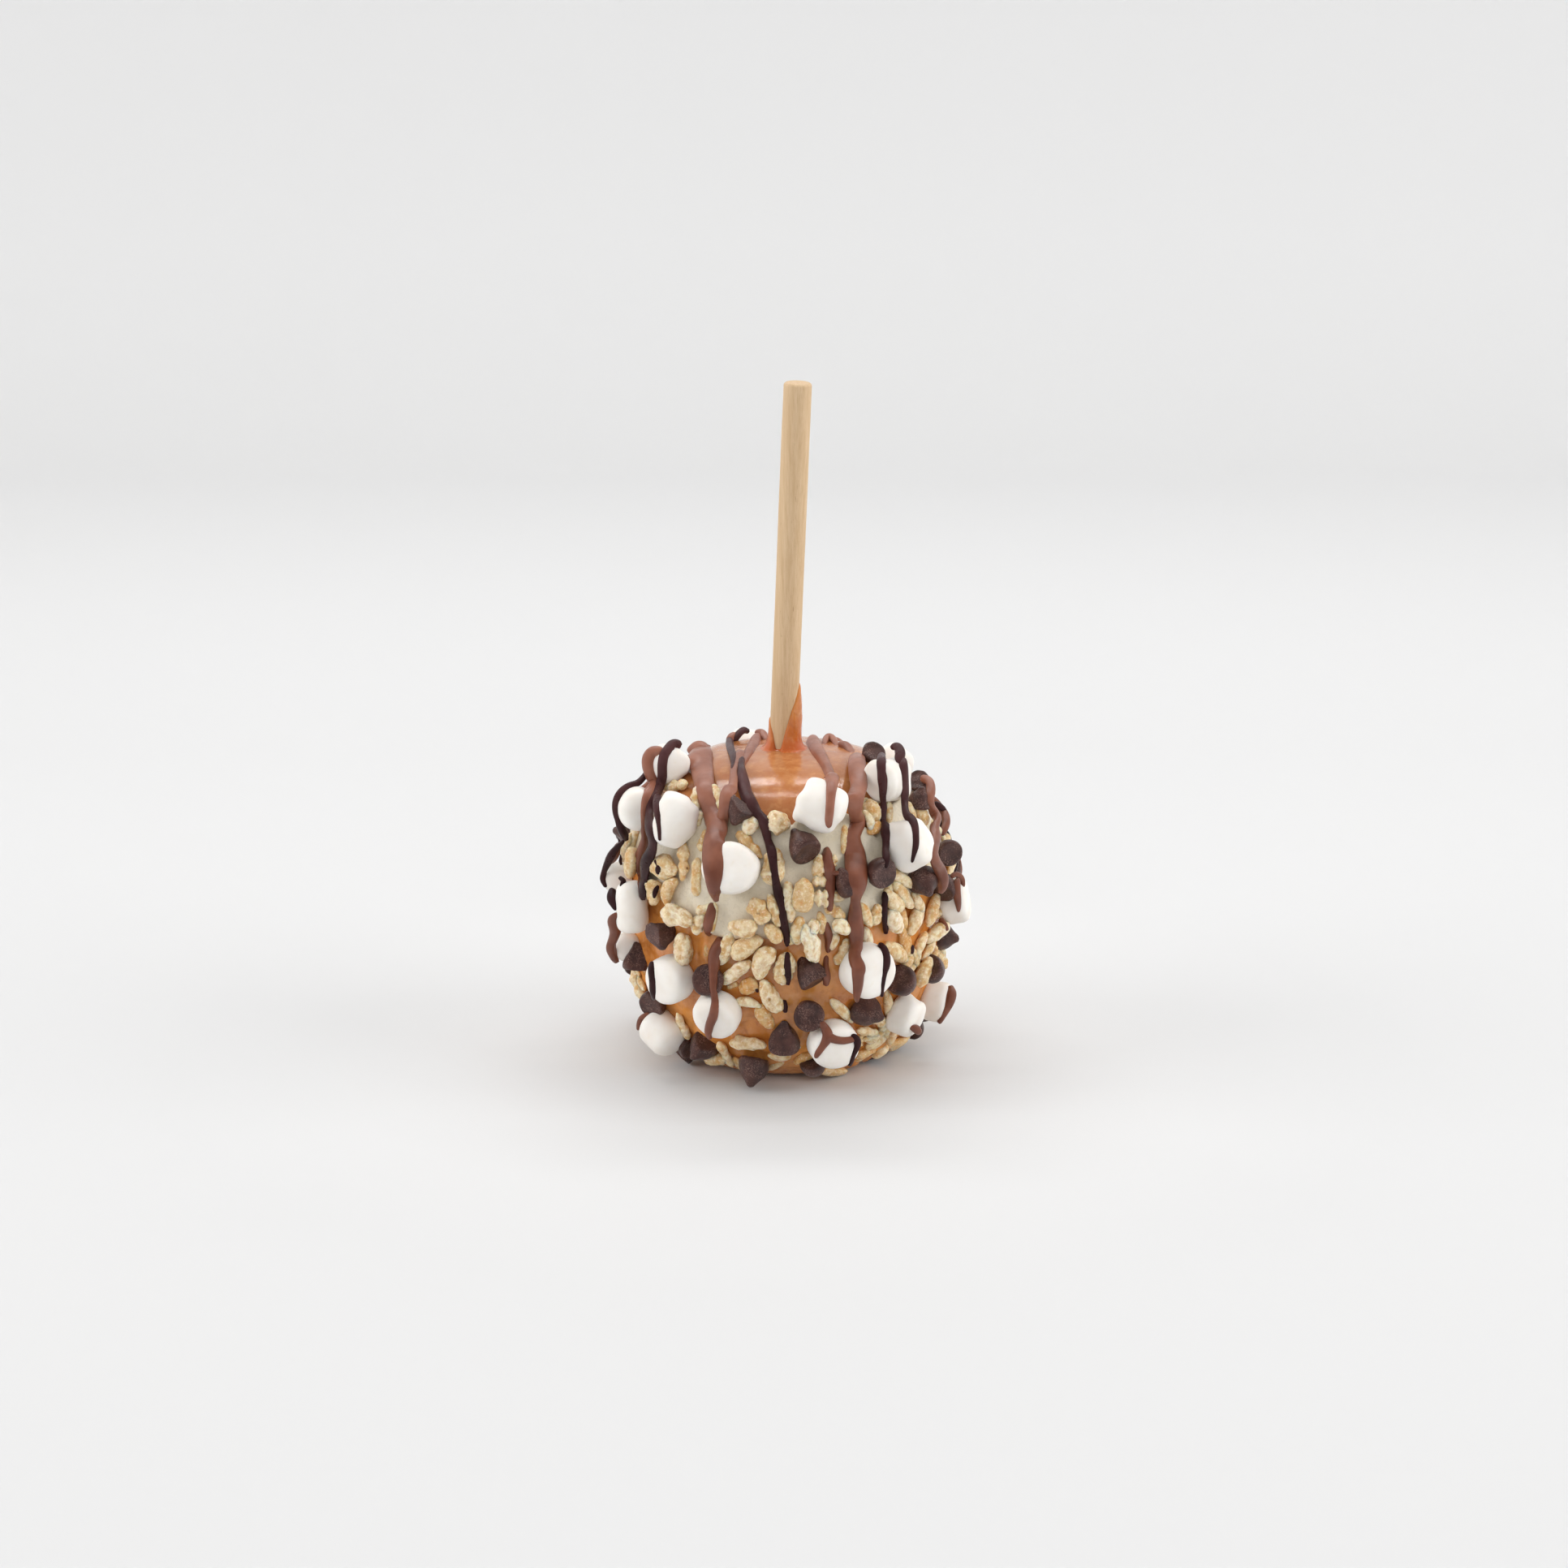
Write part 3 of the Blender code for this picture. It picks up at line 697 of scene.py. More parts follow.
def mallow_solid(foot, normal, diameter, length, lean, clock, narrow, rng):
    """Where the solid of one marshmallow lies: its frame, seat, and the facts of its shape."""
    centre, axis, seat = mallow_place(foot, normal, diameter, length, lean, clock)
    turn = Matrix.Translation(centre) @ axis.to_track_quat("Z", "X").to_matrix().to_4x4()
    squash, skew = rng.uniform(0.96, 1.04), rng.uniform(-0.06, 0.06)
    bm = bmesh.new()
    rings = []
    for u in (-0.975, -0.82, -0.48, 0.0, 0.48, 0.82, 0.975):
        r = diameter / 2 * (1 - abs(u) ** 3.4) ** (1 / 2.3) * (1 - narrow * u)
        z = u * length / 2
        rings.append([bm.verts.new((r * math.cos(2 * math.pi * k / MALLOW_SEGMENTS) * squash + skew * z,
                                    r * math.sin(2 * math.pi * k / MALLOW_SEGMENTS) / squash, z))
                      for k in range(MALLOW_SEGMENTS)])
    for a, b in zip(rings, rings[1:]):
        for k in range(len(a)):
            n = (k + 1) % len(a)
            bm.faces.new((a[k], a[n], b[n], b[k]))
    bm.faces.new(rings[0][::-1])
    bm.faces.new(rings[-1])
    local = turn.inverted()
    cut = bmesh.ops.bisect_plane(
        bm, geom=bm.verts[:] + bm.edges[:] + bm.faces[:], dist=1e-7, plane_co=local @ seat,
        plane_no=local.to_3x3() @ normal, clear_inner=True)
    rim = [e for e in cut["geom_cut"] if isinstance(e, bmesh.types.BMEdge)]
    if rim:
        bmesh.ops.contextual_create(bm, geom=rim)
    bm.verts.index_update()
    polygons = [[v.index for v in f.verts] for f in bm.faces]
    while True:
        corners = [turn @ v.co for v in bm.verts]
        tree = BVHTree.FromPolygons(corners, polygons)
        if not tree.overlap(OUTSIDE):
            break
        turn = Matrix.Translation(normal * GAP) @ turn
        centre = centre + normal * GAP
        seat = seat + normal * GAP
    near = np.linalg.norm(OUTSIDE_POINTS - np.array(centre), axis=1) < 0.014
    gap = min(min(OUTSIDE.find_nearest(c)[3] for c in corners),
              min(tree.find_nearest(Vector(p))[3] for p in OUTSIDE_POINTS[near]))
    down = normal * max(0.0, gap - GAP)
    bm.free()
    return {"turn": Matrix.Translation(-down) @ turn, "centre": centre - down, "seat": seat - down,
            "normal": normal, "axis": axis, "d": diameter, "n": length, "narrow": narrow,
            "squash": squash, "skew": skew, "size": max(diameter, length) / 2}


def lay_out_mallows():
    rng = random.Random(BACK_SEED)
    placed = []
    for far, listed in ((False, SHOWN_MALLOWS), (True, FAR_MALLOWS)):
        for px, py, d, n, lean, clock, narrow in listed:
            foot, normal = mallow_seen_at(px, py, d / 1000, n / 1000, lean, clock, far)
            placed.append(mallow_solid(foot, normal, d / 1000, n / 1000, lean, clock, narrow, rng))
    for height, many, shift, start, end in BACK_ROWS:
        step = (end - start) / many
        for k in range(many):
            degrees = start + (k + shift) * step + rng.uniform(-6, 6)
            z = height + rng.uniform(-0.0025, 0.0025)
            d, n = rng.uniform(0.0096, 0.0120), rng.uniform(0.0080, 0.0112)
            lean, clock = rng.choice((6, 10, 12, 85, 90)), rng.uniform(-80, 80)
            foot, normal = surface_at(degrees, z)
            size = max(d, n) / 2
            if all((foot + normal * 0.0045 - m["centre"]).length > 0.96 * (size + m["size"]) for m in placed):
                placed.append(mallow_solid(foot, normal, d, n, lean, clock, rng.uniform(-0.05, 0.05), rng))
    return placed


MALLOWS = lay_out_mallows()

# Pushes on the marshmallows that show, by number: where in the view, how far it moves there
# (pixels right and down), and how wide the push is.
PUSHES = {
    1: [(798, 918, 3, 4, 9), (846, 964, -3, -3, 9), (845, 920, -2, 2, 8)],
    3: [(860, 984, -6, 2, 10), (808, 978, 2, 2, 8), (812, 1024, -3, 1, 12), (848, 1022, 5, 1, 12)],
    6: [(930, 1062, 3, 1, 12), (870, 1044, 3, 3, 10)],
    7: [(976, 991, 2, 0, 8), (1016, 957, 0, -2, 10), (1048, 978, 0, -1, 9), (1046, 1002, 0, 1, 9),
        (1011, 1027, 0, 1, 10), (986, 966, 3, 3, 10), (986, 1016, 3, -3, 10), (1034, 1018, -2, -3, 9)],
    9: [(1098, 1020, -3, -3, 9), (1150, 1015, -2, 2, 9)],
    8: [(1131, 958, -5, 0, 13), (1067, 940, 1, 1, 9), (1098, 930, 0, 2, 14)],
    15: [(1136, 1232, -2, 2, 8)],
}


def mallow_shape(facts, number):
    rings, around = 30, 52
    u = -np.cos(np.pi * (np.arange(rings) + 0.6) / (rings + 0.2))
    flat = 1 - 0.05 * np.abs(u) ** 6
    soft, firm = (6.5, 3.4) if number == 8 else (4.4, 2.6)
    radius = facts["d"] / 2 * (1 - np.abs(u) ** soft) ** (1 / firm) * (1 - facts["narrow"] * u)
    if number == 8:
        radius = radius * (1 - 0.03 * np.cos(u * 7.5) ** 2 * (np.abs(u) < 0.85))
    angle = 2 * np.pi * np.arange(around) / around
    z = (u * flat * facts["n"] / 2)[:, None] * np.ones(around)
    x = radius[:, None] * np.cos(angle) * facts["squash"] + facts["skew"] * z
    y = radius[:, None] * np.sin(angle) / facts["squash"]
    ends = np.array([[0, 0, -0.94 * facts["n"] / 2], [0, 0, 0.94 * facts["n"] / 2]])
    v = np.concatenate([ends[:1], np.stack([x, y, z], -1).reshape(-1, 3), ends[1:]])
    out = v / np.maximum(np.linalg.norm(v, axis=1), 1e-9)[:, None]
    at = v + 0.031 * number
    v = v + out * (fbm(at, 0.0052, 2, 5)[:, None] * 0.00015 + fbm(at, 0.0017, 2, 9)[:, None] * 0.00004)
    turn = np.array(facts["turn"])
    v = v @ turn[:3, :3].T + turn[:3, 3]
    for px, py, dx, dy, wide in PUSHES.get(number, ()):
        x, y, depth = view_points(v)
        w = np.exp(-((x - px) ** 2 + (y - py) ** 2) / wide ** 2) * depth / VIEW_FOCAL
        v = v + (w * dx)[:, None] * np.array(RIGHT) - (w * dy)[:, None] * np.array(UP)
    # pressed on: what would go deep into the apple is flattened just under its surface
    normal = np.array(facts["normal"])
    if number == 8:
        v = v - 0.0008 * normal
    below = (v - np.array(facts["seat"])) @ normal
    press = np.where(below < 0.0006, 0.0006 - (0.0006 - below) * 0.25, below)
    press = np.maximum(press, -0.0014)
    v = v + (press - below)[:, None] * normal
    # and it is let down onto the coating where it still stands off it
    off = min(OUTSIDE.find_nearest(Vector(c))[3] for c in v[::3])
    if number in (19, 20):
        return v
    return v - max(0.0, off - 0.00005) * 1.1 * normal


# ------------------------------------------------------------------ chips
# Shown chips: view x, view y, base diameter (mm), height share, the way the tip points (right,
# up, towards the viewer), how far its middle is off the apple (mm), and flat cuts (the same
# directions, and how far from the middle as a share of the height).
CHIPS = [
    (911, 999, 6.8, 0.86, (-0.42, -0.72, 0.30), 2.2, [((0.5, 0.6, 0.6), 0.30)]),
    (988, 1041, 7.3, 0.98, (-0.46, 0.68, -0.56), 2.3, []),
    (1083, 1073, 7.2, 0.88, (-0.55, 0.35, -0.75), 2.0, []),
    (1043, 1087, 6.4, 0.88, (-0.55, 0.50, 0.30), 2.0, []),
    (1133, 966, 5.6, 0.84, (0.25, -0.45, -0.60), 2.2, []),
    (1133, 984, 5.8, 0.88, (0.05, 0.75, 0.20), 2.2, []),
    (1168, 1049, 6.2, 0.86, (-0.30, 0.25, -0.90), 3.0, []),
    (1138, 1088, 7.2, 0.86, (0.30, -0.62, 0.70), 2.6, []),
    (1163, 1092, 6.4, 0.90, (0.25, 0.60, -0.55), 2.4, []),
    (1171, 1155, 6.8, 0.92, (0.95, -0.10, 0.12), 2.6, []),
    (814, 1151, 7.2, 0.94, (0.02, -0.88, 0.36), 2.4,
     [((-0.75, 0.1, 0.65), 0.26), ((0.45, 0.25, 0.85), 0.30), ((-0.1, 0.75, 0.6), 0.32)]),
    (785, 1181, 6.7, 0.98, (0.10, 1.0, 0.10), 2.4, [((0.1, 0.2, 1.0), 0.30)]),
    (806, 1235, 6.8, 0.84, (0.45, 0.45, -0.75), 2.2, []),
    (873, 1208, 7.2, 0.80, (0.12, -0.12, -1.0), 1.9, []),
    (998, 1198, 7.2, 0.96, (-0.50, 0.80, -0.25), 2.2, [((0.55, 0.35, 0.75), 0.26), ((-0.7, -0.1, 0.7), 0.34)]),
    (997, 1251, 7.0, 0.80, (0.0, 0.05, -1.0), 1.8, []),
    (966, 1281, 7.3, 1.00, (0.05, 0.95, 0.30), 2.4, [((-0.35, 0.1, 0.95), 0.22)]),
    (928, 1317, 7.2, 0.94, (-0.16, -0.92, 0.10), 2.6, []),
    (866, 1290, 6.8, 0.94, (-0.42, -0.62, 0.60), 2.2, [((0.3, 0.5, 0.8), 0.28)]),
    (1069, 1248, 7.4, 0.90, (0.55, -0.45, 0.45), 2.0, [((0.2, 0.6, 0.8), 0.30)]),
    (1112, 1210, 7.2, 0.88, (0.35, -0.35, -0.80), 2.2, []),
    (1149, 1196, 7.0, 0.86, (0.40, -0.30, -0.60), 2.0, []),
    (1146, 1246, 6.0, 0.98, (0.95, 0.0, 0.20), 3.4, []),
    (846, 1289, 5.2, 0.80, (-0.50, 0.35, -0.50), 1.6, []),
    (1003, 1314, 6.4, 0.80, (0.2, -0.6, -0.5), 1.6, []),
]
FAR_CHIPS = [
    (1075, 930, 5.8, 0.80, (-0.20, -0.50, -0.80), 2.4, []),
]


def chip_shape(diameter, height, rng, cuts):
    """A drop with a flat base and a bent tip, its tip along +Z and its middle at the origin."""
    full = rng.uniform(0.1, 1.0)
    slim = [0.0, 0.55, 0.85, 0.96, 1.0, 0.985, 0.91, 0.79, 0.64, 0.48, 0.36, 0.28, 0.19, 0.0]
    fat = [0.0, 0.50, 0.80, 0.93, 1.0, 1.02, 0.99, 0.92, 0.79, 0.60, 0.42, 0.28, 0.18, 0.0]
    level = [0.03, 0.025, 0.0, 0.03, 0.12, 0.23, 0.36, 0.48, 0.60, 0.71, 0.81, 0.90, 0.965, 1.0]
    knots = [(a + (b - a) * full, c) for a, b, c in zip(slim, fat, level)]
    rz = spline(knots, 2)
    around = 34
    rings = rz[1:-1]
    angle = 2 * np.pi * np.arange(around) / around
    r = np.maximum(rings[:, 0], 0.02)[:, None] * diameter / 2
    x, y = r * np.cos(angle), r * np.sin(angle)
    z = (rings[:, 1][:, None] * height) * np.ones(around)
    v = np.concatenate([[[0, 0, rz[0, 1] * height]], np.stack([x, y, z], -1).reshape(-1, 3), [[0, 0, height]]])
    up = np.clip(v[:, 2] / height, 0, 1)
    lean, way = rng.uniform(0.02, 0.20), rng.uniform(0, 2 * math.pi)
    v[:, 0] += lean * diameter * up ** 3 * math.cos(way)
    v[:, 1] += lean * diameter * up ** 3 * math.sin(way)
    v[:, 0] *= rng.uniform(0.94, 1.04)
    v[:, 2] -= 0.38 * height
    at = v + rng.uniform(0, 5)
    out = v / np.maximum(np.linalg.norm(v, axis=1), 1e-9)[:, None]
    v = v + out * (fbm(at, 0.0026, 3, 21)[:, None] * 0.00016)
    for k in range(3):                     # scuffed flats round the side
        way, rise = rng.uniform(0, 2 * math.pi), rng.uniform(0.1, 0.7)
        flat = np.array([math.cos(way), math.sin(way), rise])
        flat /= np.linalg.norm(flat)
        over = np.maximum(v @ flat - (v @ flat).max() * rng.uniform(0.84, 0.95), 0)
        v = v - 0.65 * over[:, None] * flat
    for normal, share in cuts:
        over = np.maximum(v @ normal - share * height, 0)
        v = v - over[:, None] * normal
    return v, len(rings), around


def basis_from(axis, hint):
    z = Vector(axis).normalized()
    x = Vector(hint) - z * z.dot(Vector(hint))
    x.normalize()
    return Matrix((x, z.cross(x), z)).transposed()


# ------------------------------------------------------------------ crisped rice
# Shown grains: view x, view y, length and width (pixels), the way they lie (degrees clockwise
# from up), kind (s smooth, l lumpy with a waist, p porous, f broad, c curved), tone, lift (mm).
GRAINS = [
    (1093, 1262, 30, 16, 40, "s", 0.3, 0.8), (1081, 1257, 28, 15, 120, "l", 0.25, 0.6),
    (1077, 1277, 30, 17, 70, "f", 0.3, 0.8), (1101, 1276, 28, 15, 20, "s", 0.35, 0.8),
    (1118, 1187, 28, 14, 30, "s", 0.4, 0.6), (1110, 1174, 26, 14, 150, "l", 0.3, 0.6),
    (1127, 1179, 26, 13, 160, "s", 0.45, 0.8), (1064, 1300, 26, 14, 60, "s", 0.35, 0.6),
    (833, 968, 31, 17, 78, "l", 0.3, 0.9), (857, 985, 34, 14, 5, "l", 0.25, 0.6),
    (859, 1008, 20, 17, 10, "l", 0.3, 0.5), (884, 983, 36, 14, 164, "s", 0.3, 0.3),
    (785, 1000, 34, 13, 4, "l", 0.35, 0.8), (780, 1030, 40, 16, 24, "l", 0.3, 0.8),
    (772, 1044, 34, 17, 42, "s", 0.3, 1.2), (776, 1064, 40, 25, 10, "s", 0.35, 0.8),
    (760, 1054, 22, 13, 4, "l", 0.3, 0.8), (817, 1069, 32, 28, 100, "f", 0.35, 0.5),
    (841, 1061, 51, 17, 0, "l", 0.4, 0.9), (858, 1081, 48, 16, 2, "l", 0.45, 0.2),
    (866, 1036, 28, 13, 15, "l", 0.4, 0.2), (824, 1097, 36, 19, 22, "c", 0.4, 1.0),
    (805, 1100, 32, 26, 0, "f", 0.4, 0.2), (833, 1129, 42, 27, 102, "f", 0.15, 1.0),
    (869, 1121, 26, 15, 76, "l", 0.3, 0.4), (860, 1139, 25, 20, 20, "l", 0.2, 0.5),
    (877, 1131, 38, 15, 5, "s", 0.35, 0.5), (841, 1170, 40, 27, 2, "p", 0.2, 1.4),
    (761, 1141, 34, 13, 152, "s", 0.4, 0.8), (776, 1158, 32, 18, 150, "l", 0.4, 0.4),
    (759, 1155, 12, 10, 90, "s", 0.2, 0.6), (783, 1164, 14, 12, 20, "s", 0.2, 0.6),
    (770, 1199, 20, 13, 100, "s", 0.3, 0.7), (774, 1217, 34, 22, 150, "l", 0.3, 0.7),
    (787, 1206, 34, 13, 150, "s", 0.35, 0.8), (791, 1222, 34, 12, 156, "s", 0.35, 0.4),
    (783, 1228, 26, 14, 146, "s", 0.35, 0.4), (841, 1265, 38, 14, 157, "l", 0.2, 0.9),
    (871, 1171, 22, 9, 4, "s", 0.6, 0.1), (925, 1017, 25, 20, 30, "s", 0.15, 0.9),
    (955, 1014, 33, 27, 80, "f", 0.25, 0.8), (923, 1041, 44, 17, 137, "l", 0.55, 0.3),
    (953, 1068, 46, 29, 5, "f", 0.3, 0.2), (990, 1103, 42, 27, 2, "s", 0.45, 0.7),
    (935, 1122, 34, 25, 152, "f", 0.35, 0.6), (955, 1122, 44, 17, 162, "p", 0.3, 0.6),
    (972, 1112, 50, 18, 176, "p", 0.2, 0.6), (915, 1143, 36, 24, 95, "s", 0.3, 0.9),
    (953, 1150, 28, 19, 146, "s", 0.45, 0.3), (983, 1147, 36, 18, 8, "s", 0.35, 0.3),
    (920, 1167, 44, 24, 58, "s", 0.35, 0.7), (893, 1168, 44, 19, 20, "p", 0.15, 0.8),
    (940, 1186, 44, 26, 22, "s", 0.25, 1.1), (907, 1198, 46, 19, 52, "p", 0.15, 1.0),
    (966, 1194, 40, 28, 14, "p", 0.3, 0.7), (999, 1163, 54, 23, 164, "p", 0.05, 0.2),
    (1001, 1146, 26, 17, 24, "p", 0.05, 0.7), (1009, 1068, 28, 18, 4, "p", 0.3, 0.4),
    (1010, 1086, 20, 17, 90, "l", 0.2, 0.7), (1026, 1062, 20, 13, 20, "l", 0.35, 0.4),
    (1012, 1107, 24, 21, 90, "l", 0.25, 0.7), (1031, 1104, 22, 15, 100, "s", 0.3, 0.5),
    (1012, 1137, 28, 13, 175, "s", 0.45, 0.4), (1030, 1124, 28, 16, 122, "l", 0.4, 0.4),
    (1037, 1142, 25, 19, 128, "s", 0.1, 0.8), (1028, 1160, 24, 12, 14, "s", 0.2, 0.4),
    (1039, 1173, 36, 16, 22, "l", 0.3, 0.6), (1067, 1128, 34, 16, 156, "s", 0.35, 0.5),
    (1080, 1127, 27, 17, 8, "p", 0.35, 0.2), (1068, 1153, 26, 15, 164, "s", 0.1, 0.6),
    (1040, 1034, 36, 10, 4, "p", 0.45, 0.2), (1071, 1011, 28, 12, 162, "c", 0.2, 1.0),
    (1075, 1000, 34, 24, 150, "p", 0.35, 0.5), (1066, 989, 14, 10, 40, "l", 0.3, 1.0),
    (1096, 1001, 28, 11, 2, "s", 0.3, 0.5), (1079, 1020, 22, 15, 60, "s", 0.95, 0.2),
    (1137, 1004, 28, 19, 155, "s", 0.45, 1.0), (1123, 999, 26, 12, 160, "s", 0.3, 0.6),
    (1150, 1016, 14, 9, 20, "s", 0.3, 1.0), (1165, 1029, 22, 10, 150, "s", 0.2, 1.4),
    (1175, 1070, 32, 11, 20, "s", 0.2, 1.2), (1112, 1083, 38, 16, 122, "s", 0.3, 0.9),
    (1113, 1103, 52, 17, 144, "s", 0.35, 0.5), (1101, 1110, 34, 21, 134, "s", 0.3, 0.3),
    (1131, 1111, 29, 15, 150, "s", 0.25, 0.5), (1128, 1134, 44, 21, 20, "s", 0.3, 0.7),
    (1113, 1131, 34, 14, 164, "s", 0.7, 0.1), (1103, 1137, 33, 23, 150, "s", 0.1, 0.8),
    (1150, 1121, 45, 18, 18, "s", 0.3, 0.9), (1156, 1150, 29, 20, 58, "s", 0.2, 0.9),
    (1135, 1164, 34, 16, 24, "s", 0.25, 0.8), (1104, 1173, 40, 20, 130, "s", 0.35, 0.6),
    (1115, 1160, 40, 19, 166, "s", 0.75, 0.0), (1144, 1171, 30, 13, 34, "s", 0.3, 0.6),
    (1152, 1176, 26, 13, 8, "l", 0.35, 0.6), (1160, 1167, 36, 15, 168, "s", 0.4, 0.7),
    (1165, 1182, 24, 16, 150, "l", 0.4, 0.7), (1140, 1197, 40, 24, 22, "p", 0.3, 1.5),
    (1127, 1187, 34, 13, 30, "s", 0.3, 0.5), (1095, 1238, 38, 14, 172, "s", 0.3, 0.6),
    (1095, 1262, 30, 15, 18, "l", 0.35, 0.6), (1070, 1273, 28, 17, 112, "l", 0.25, 0.8),
    (1080, 1284, 30, 18, 62, "s", 0.35, 0.8), (1088, 1278, 26, 15, 30, "s", 0.4, 0.8),
    (1068, 1297, 28, 17, 68, "l", 0.6, 0.5), (1085, 1297, 24, 16, 58, "s", 0.3, 0.6),
    (1105, 1286, 24, 16, 78, "s", 0.5, 0.5), (1060, 1284, 18, 13, 20, "l", 0.4, 0.6),
    (1038, 1246, 44, 14, 137, "s", 0.25, 1.0), (1027, 1321, 36, 14, 96, "s", 0.4, 0.7),
    (949, 1229, 48, 24, 152, "p", 0.2, 1.1), (923, 1215, 26, 21, 60, "p", 0.65, -0.2),
    (920, 1236, 36, 14, 96, "c", 0.15, 1.0), (943, 1254, 34, 20, 150, "p", 0.55, 0.1),
    (920, 1288, 46, 20, 92, "l", 0.25, 0.9), (894, 1300, 38, 14, 154, "l", 0.3, 0.9),
    (882, 1306, 28, 19, 84, "f", 0.35, 0.7), (960, 1303, 30, 14, 92, "s", 0.3, 0.9),
    (990, 1304, 24, 17, 60, "p", 0.8, 0.0), (911, 1313, 24, 13, 150, "s", 0.4, 0.6),
    (955, 1314, 24, 11, 60, "s", 0.4, 0.5), (983, 1291, 14, 9, 60, "s", 0.1, 0.5),
    (1047, 1318, 18, 10, 60, "l", 0.4, 0.6), (800, 1065, 20, 12, 10, "l", 0.35, 0.0),
    (1138, 1067, 26, 16, 60, "s", 0.35, 0.3), (1152, 1128, 20, 12, 60, "s", 0.5, -0.2),
    (1098, 1093, 24, 13, 40, "s", 0.5, -0.1), (1165, 1122, 20, 12, 20, "s", 0.45, 0.0),
    (975, 1158, 20, 14, 60, "s", 0.5, 0.0), (1050, 1196, 16, 12, 40, "l", 0.4, 0.0),
    (902, 1214, 16, 10, 60, "s", 0.6, 0.0), (1150, 1222, 20, 12, 60, "s", 0.5, 0.2),
]


def grain_shape(kind, length, width, thick, rng, fine):
    """One grain, its length along Y, its width along X and its outer side towards +Z."""
    rings, around = (21, 24) if fine else (12, 14)
    u = -np.cos(np.pi * (np.arange(rings) + 0.7) / (rings + 0.4))
    blunt = rng.uniform(1.75, 2.5)
    r = (1 - np.abs(u) ** blunt) ** (1 / 2.1)
    taper = rng.uniform(-0.22, 0.22)
    if kind == "l":
        at = rng.uniform(-0.2, 0.2)
        r = r * (1 - 0.26 * np.exp(-((u - at) / 0.20) ** 2)) * (1 + 0.12 * np.sin(u * 9 + rng.uniform(0, 6)))
    elif kind == "f":
        r = r * (1 + 0.12 * np.sin(u * 5 + rng.uniform(0, 6)))
    r = r * (1 + taper * u) * 1.04
    angle = 2 * np.pi * np.arange(around) / around
    x = r[:, None] * np.cos(angle)
    z = r[:, None] * np.sin(angle)
    y = u[:, None] * np.ones(around)
    v = np.concatenate([[[0, -1, 0]], np.stack([x, y, z], -1).reshape(-1, 3), [[0, 1, 0]]])
    bend = {"c": rng.choice((-1, 1)) * rng.uniform(0.75, 0.95), "s": rng.uniform(-0.28, 0.28),
            "l": rng.uniform(-0.32, 0.32)}.get(kind, rng.uniform(-0.15, 0.15))
    v[:, 0] += bend * (v[:, 1] ** 2 - 0.35)
    # a crease along the outer side, deeper on some
    crease = rng.uniform(0.05, 0.30) if kind in "slp" else rng.uniform(0.0, 0.15)
    shift, slant = rng.uniform(-0.4, 0.4), rng.uniform(-0.3, 0.3)
    v[:, 2] -= crease * np.exp(-((v[:, 0] - shift - slant * v[:, 1]) / 0.17) ** 2) * (v[:, 2] > 0) * (1 - v[:, 1] ** 2)
    v = v * np.array([width / 2, length / 2, thick / 2])
    at = v + np.array([rng.uniform(0, 9), rng.uniform(0, 9), rng.uniform(0, 9)])
    out = v / np.maximum(np.linalg.norm(v, axis=1), 1e-9)[:, None]
    small = min(width, 0.004) / 0.0036
    lump = {"s": 0.00020, "l": 0.00026, "p": 0.00026, "f": 0.00034, "c": 0.00016}[kind] * small
    wrinkle = {"s": 0.00013, "l": 0.00016, "p": 0.00022, "f": 0.00022, "c": 0.00012}[kind] * small
    dome = 1 - np.clip(pits(at, 0.00130, 33) / 0.72, 0, 1.3) ** 2      # blistered skin, creases between
    push = fbm(at, 0.0023, 2, 31) * lump + (dome - 0.45) * wrinkle * 1.25
    # painted shade: golden-dark in the creases between the blisters
    painted_shade_and_stain = np.clip(0.55 - dome, 0, 1)
    if kind in "pf":
        hole = np.clip(1 - pits(at, 0.00095, 41) / 0.45, 0, 1)
        push = push - hole ** 0.8 * 0.00030 * small
        # painted shade in the pits too
        painted_shade_and_stain = np.clip(painted_shade_and_stain + hole * 0.8, 0, 1)
    # more golden low down: partly caramel where it is stuck on, partly painted shade on the underside
    painted_shade_and_stain = np.clip(painted_shade_and_stain + 0.75 * np.clip((0.10 * thick - v[:, 2]) / (0.5 * thick), 0, 1), 0, 1)
    return v + out * push[:, None], rings, around, painted_shade_and_stain


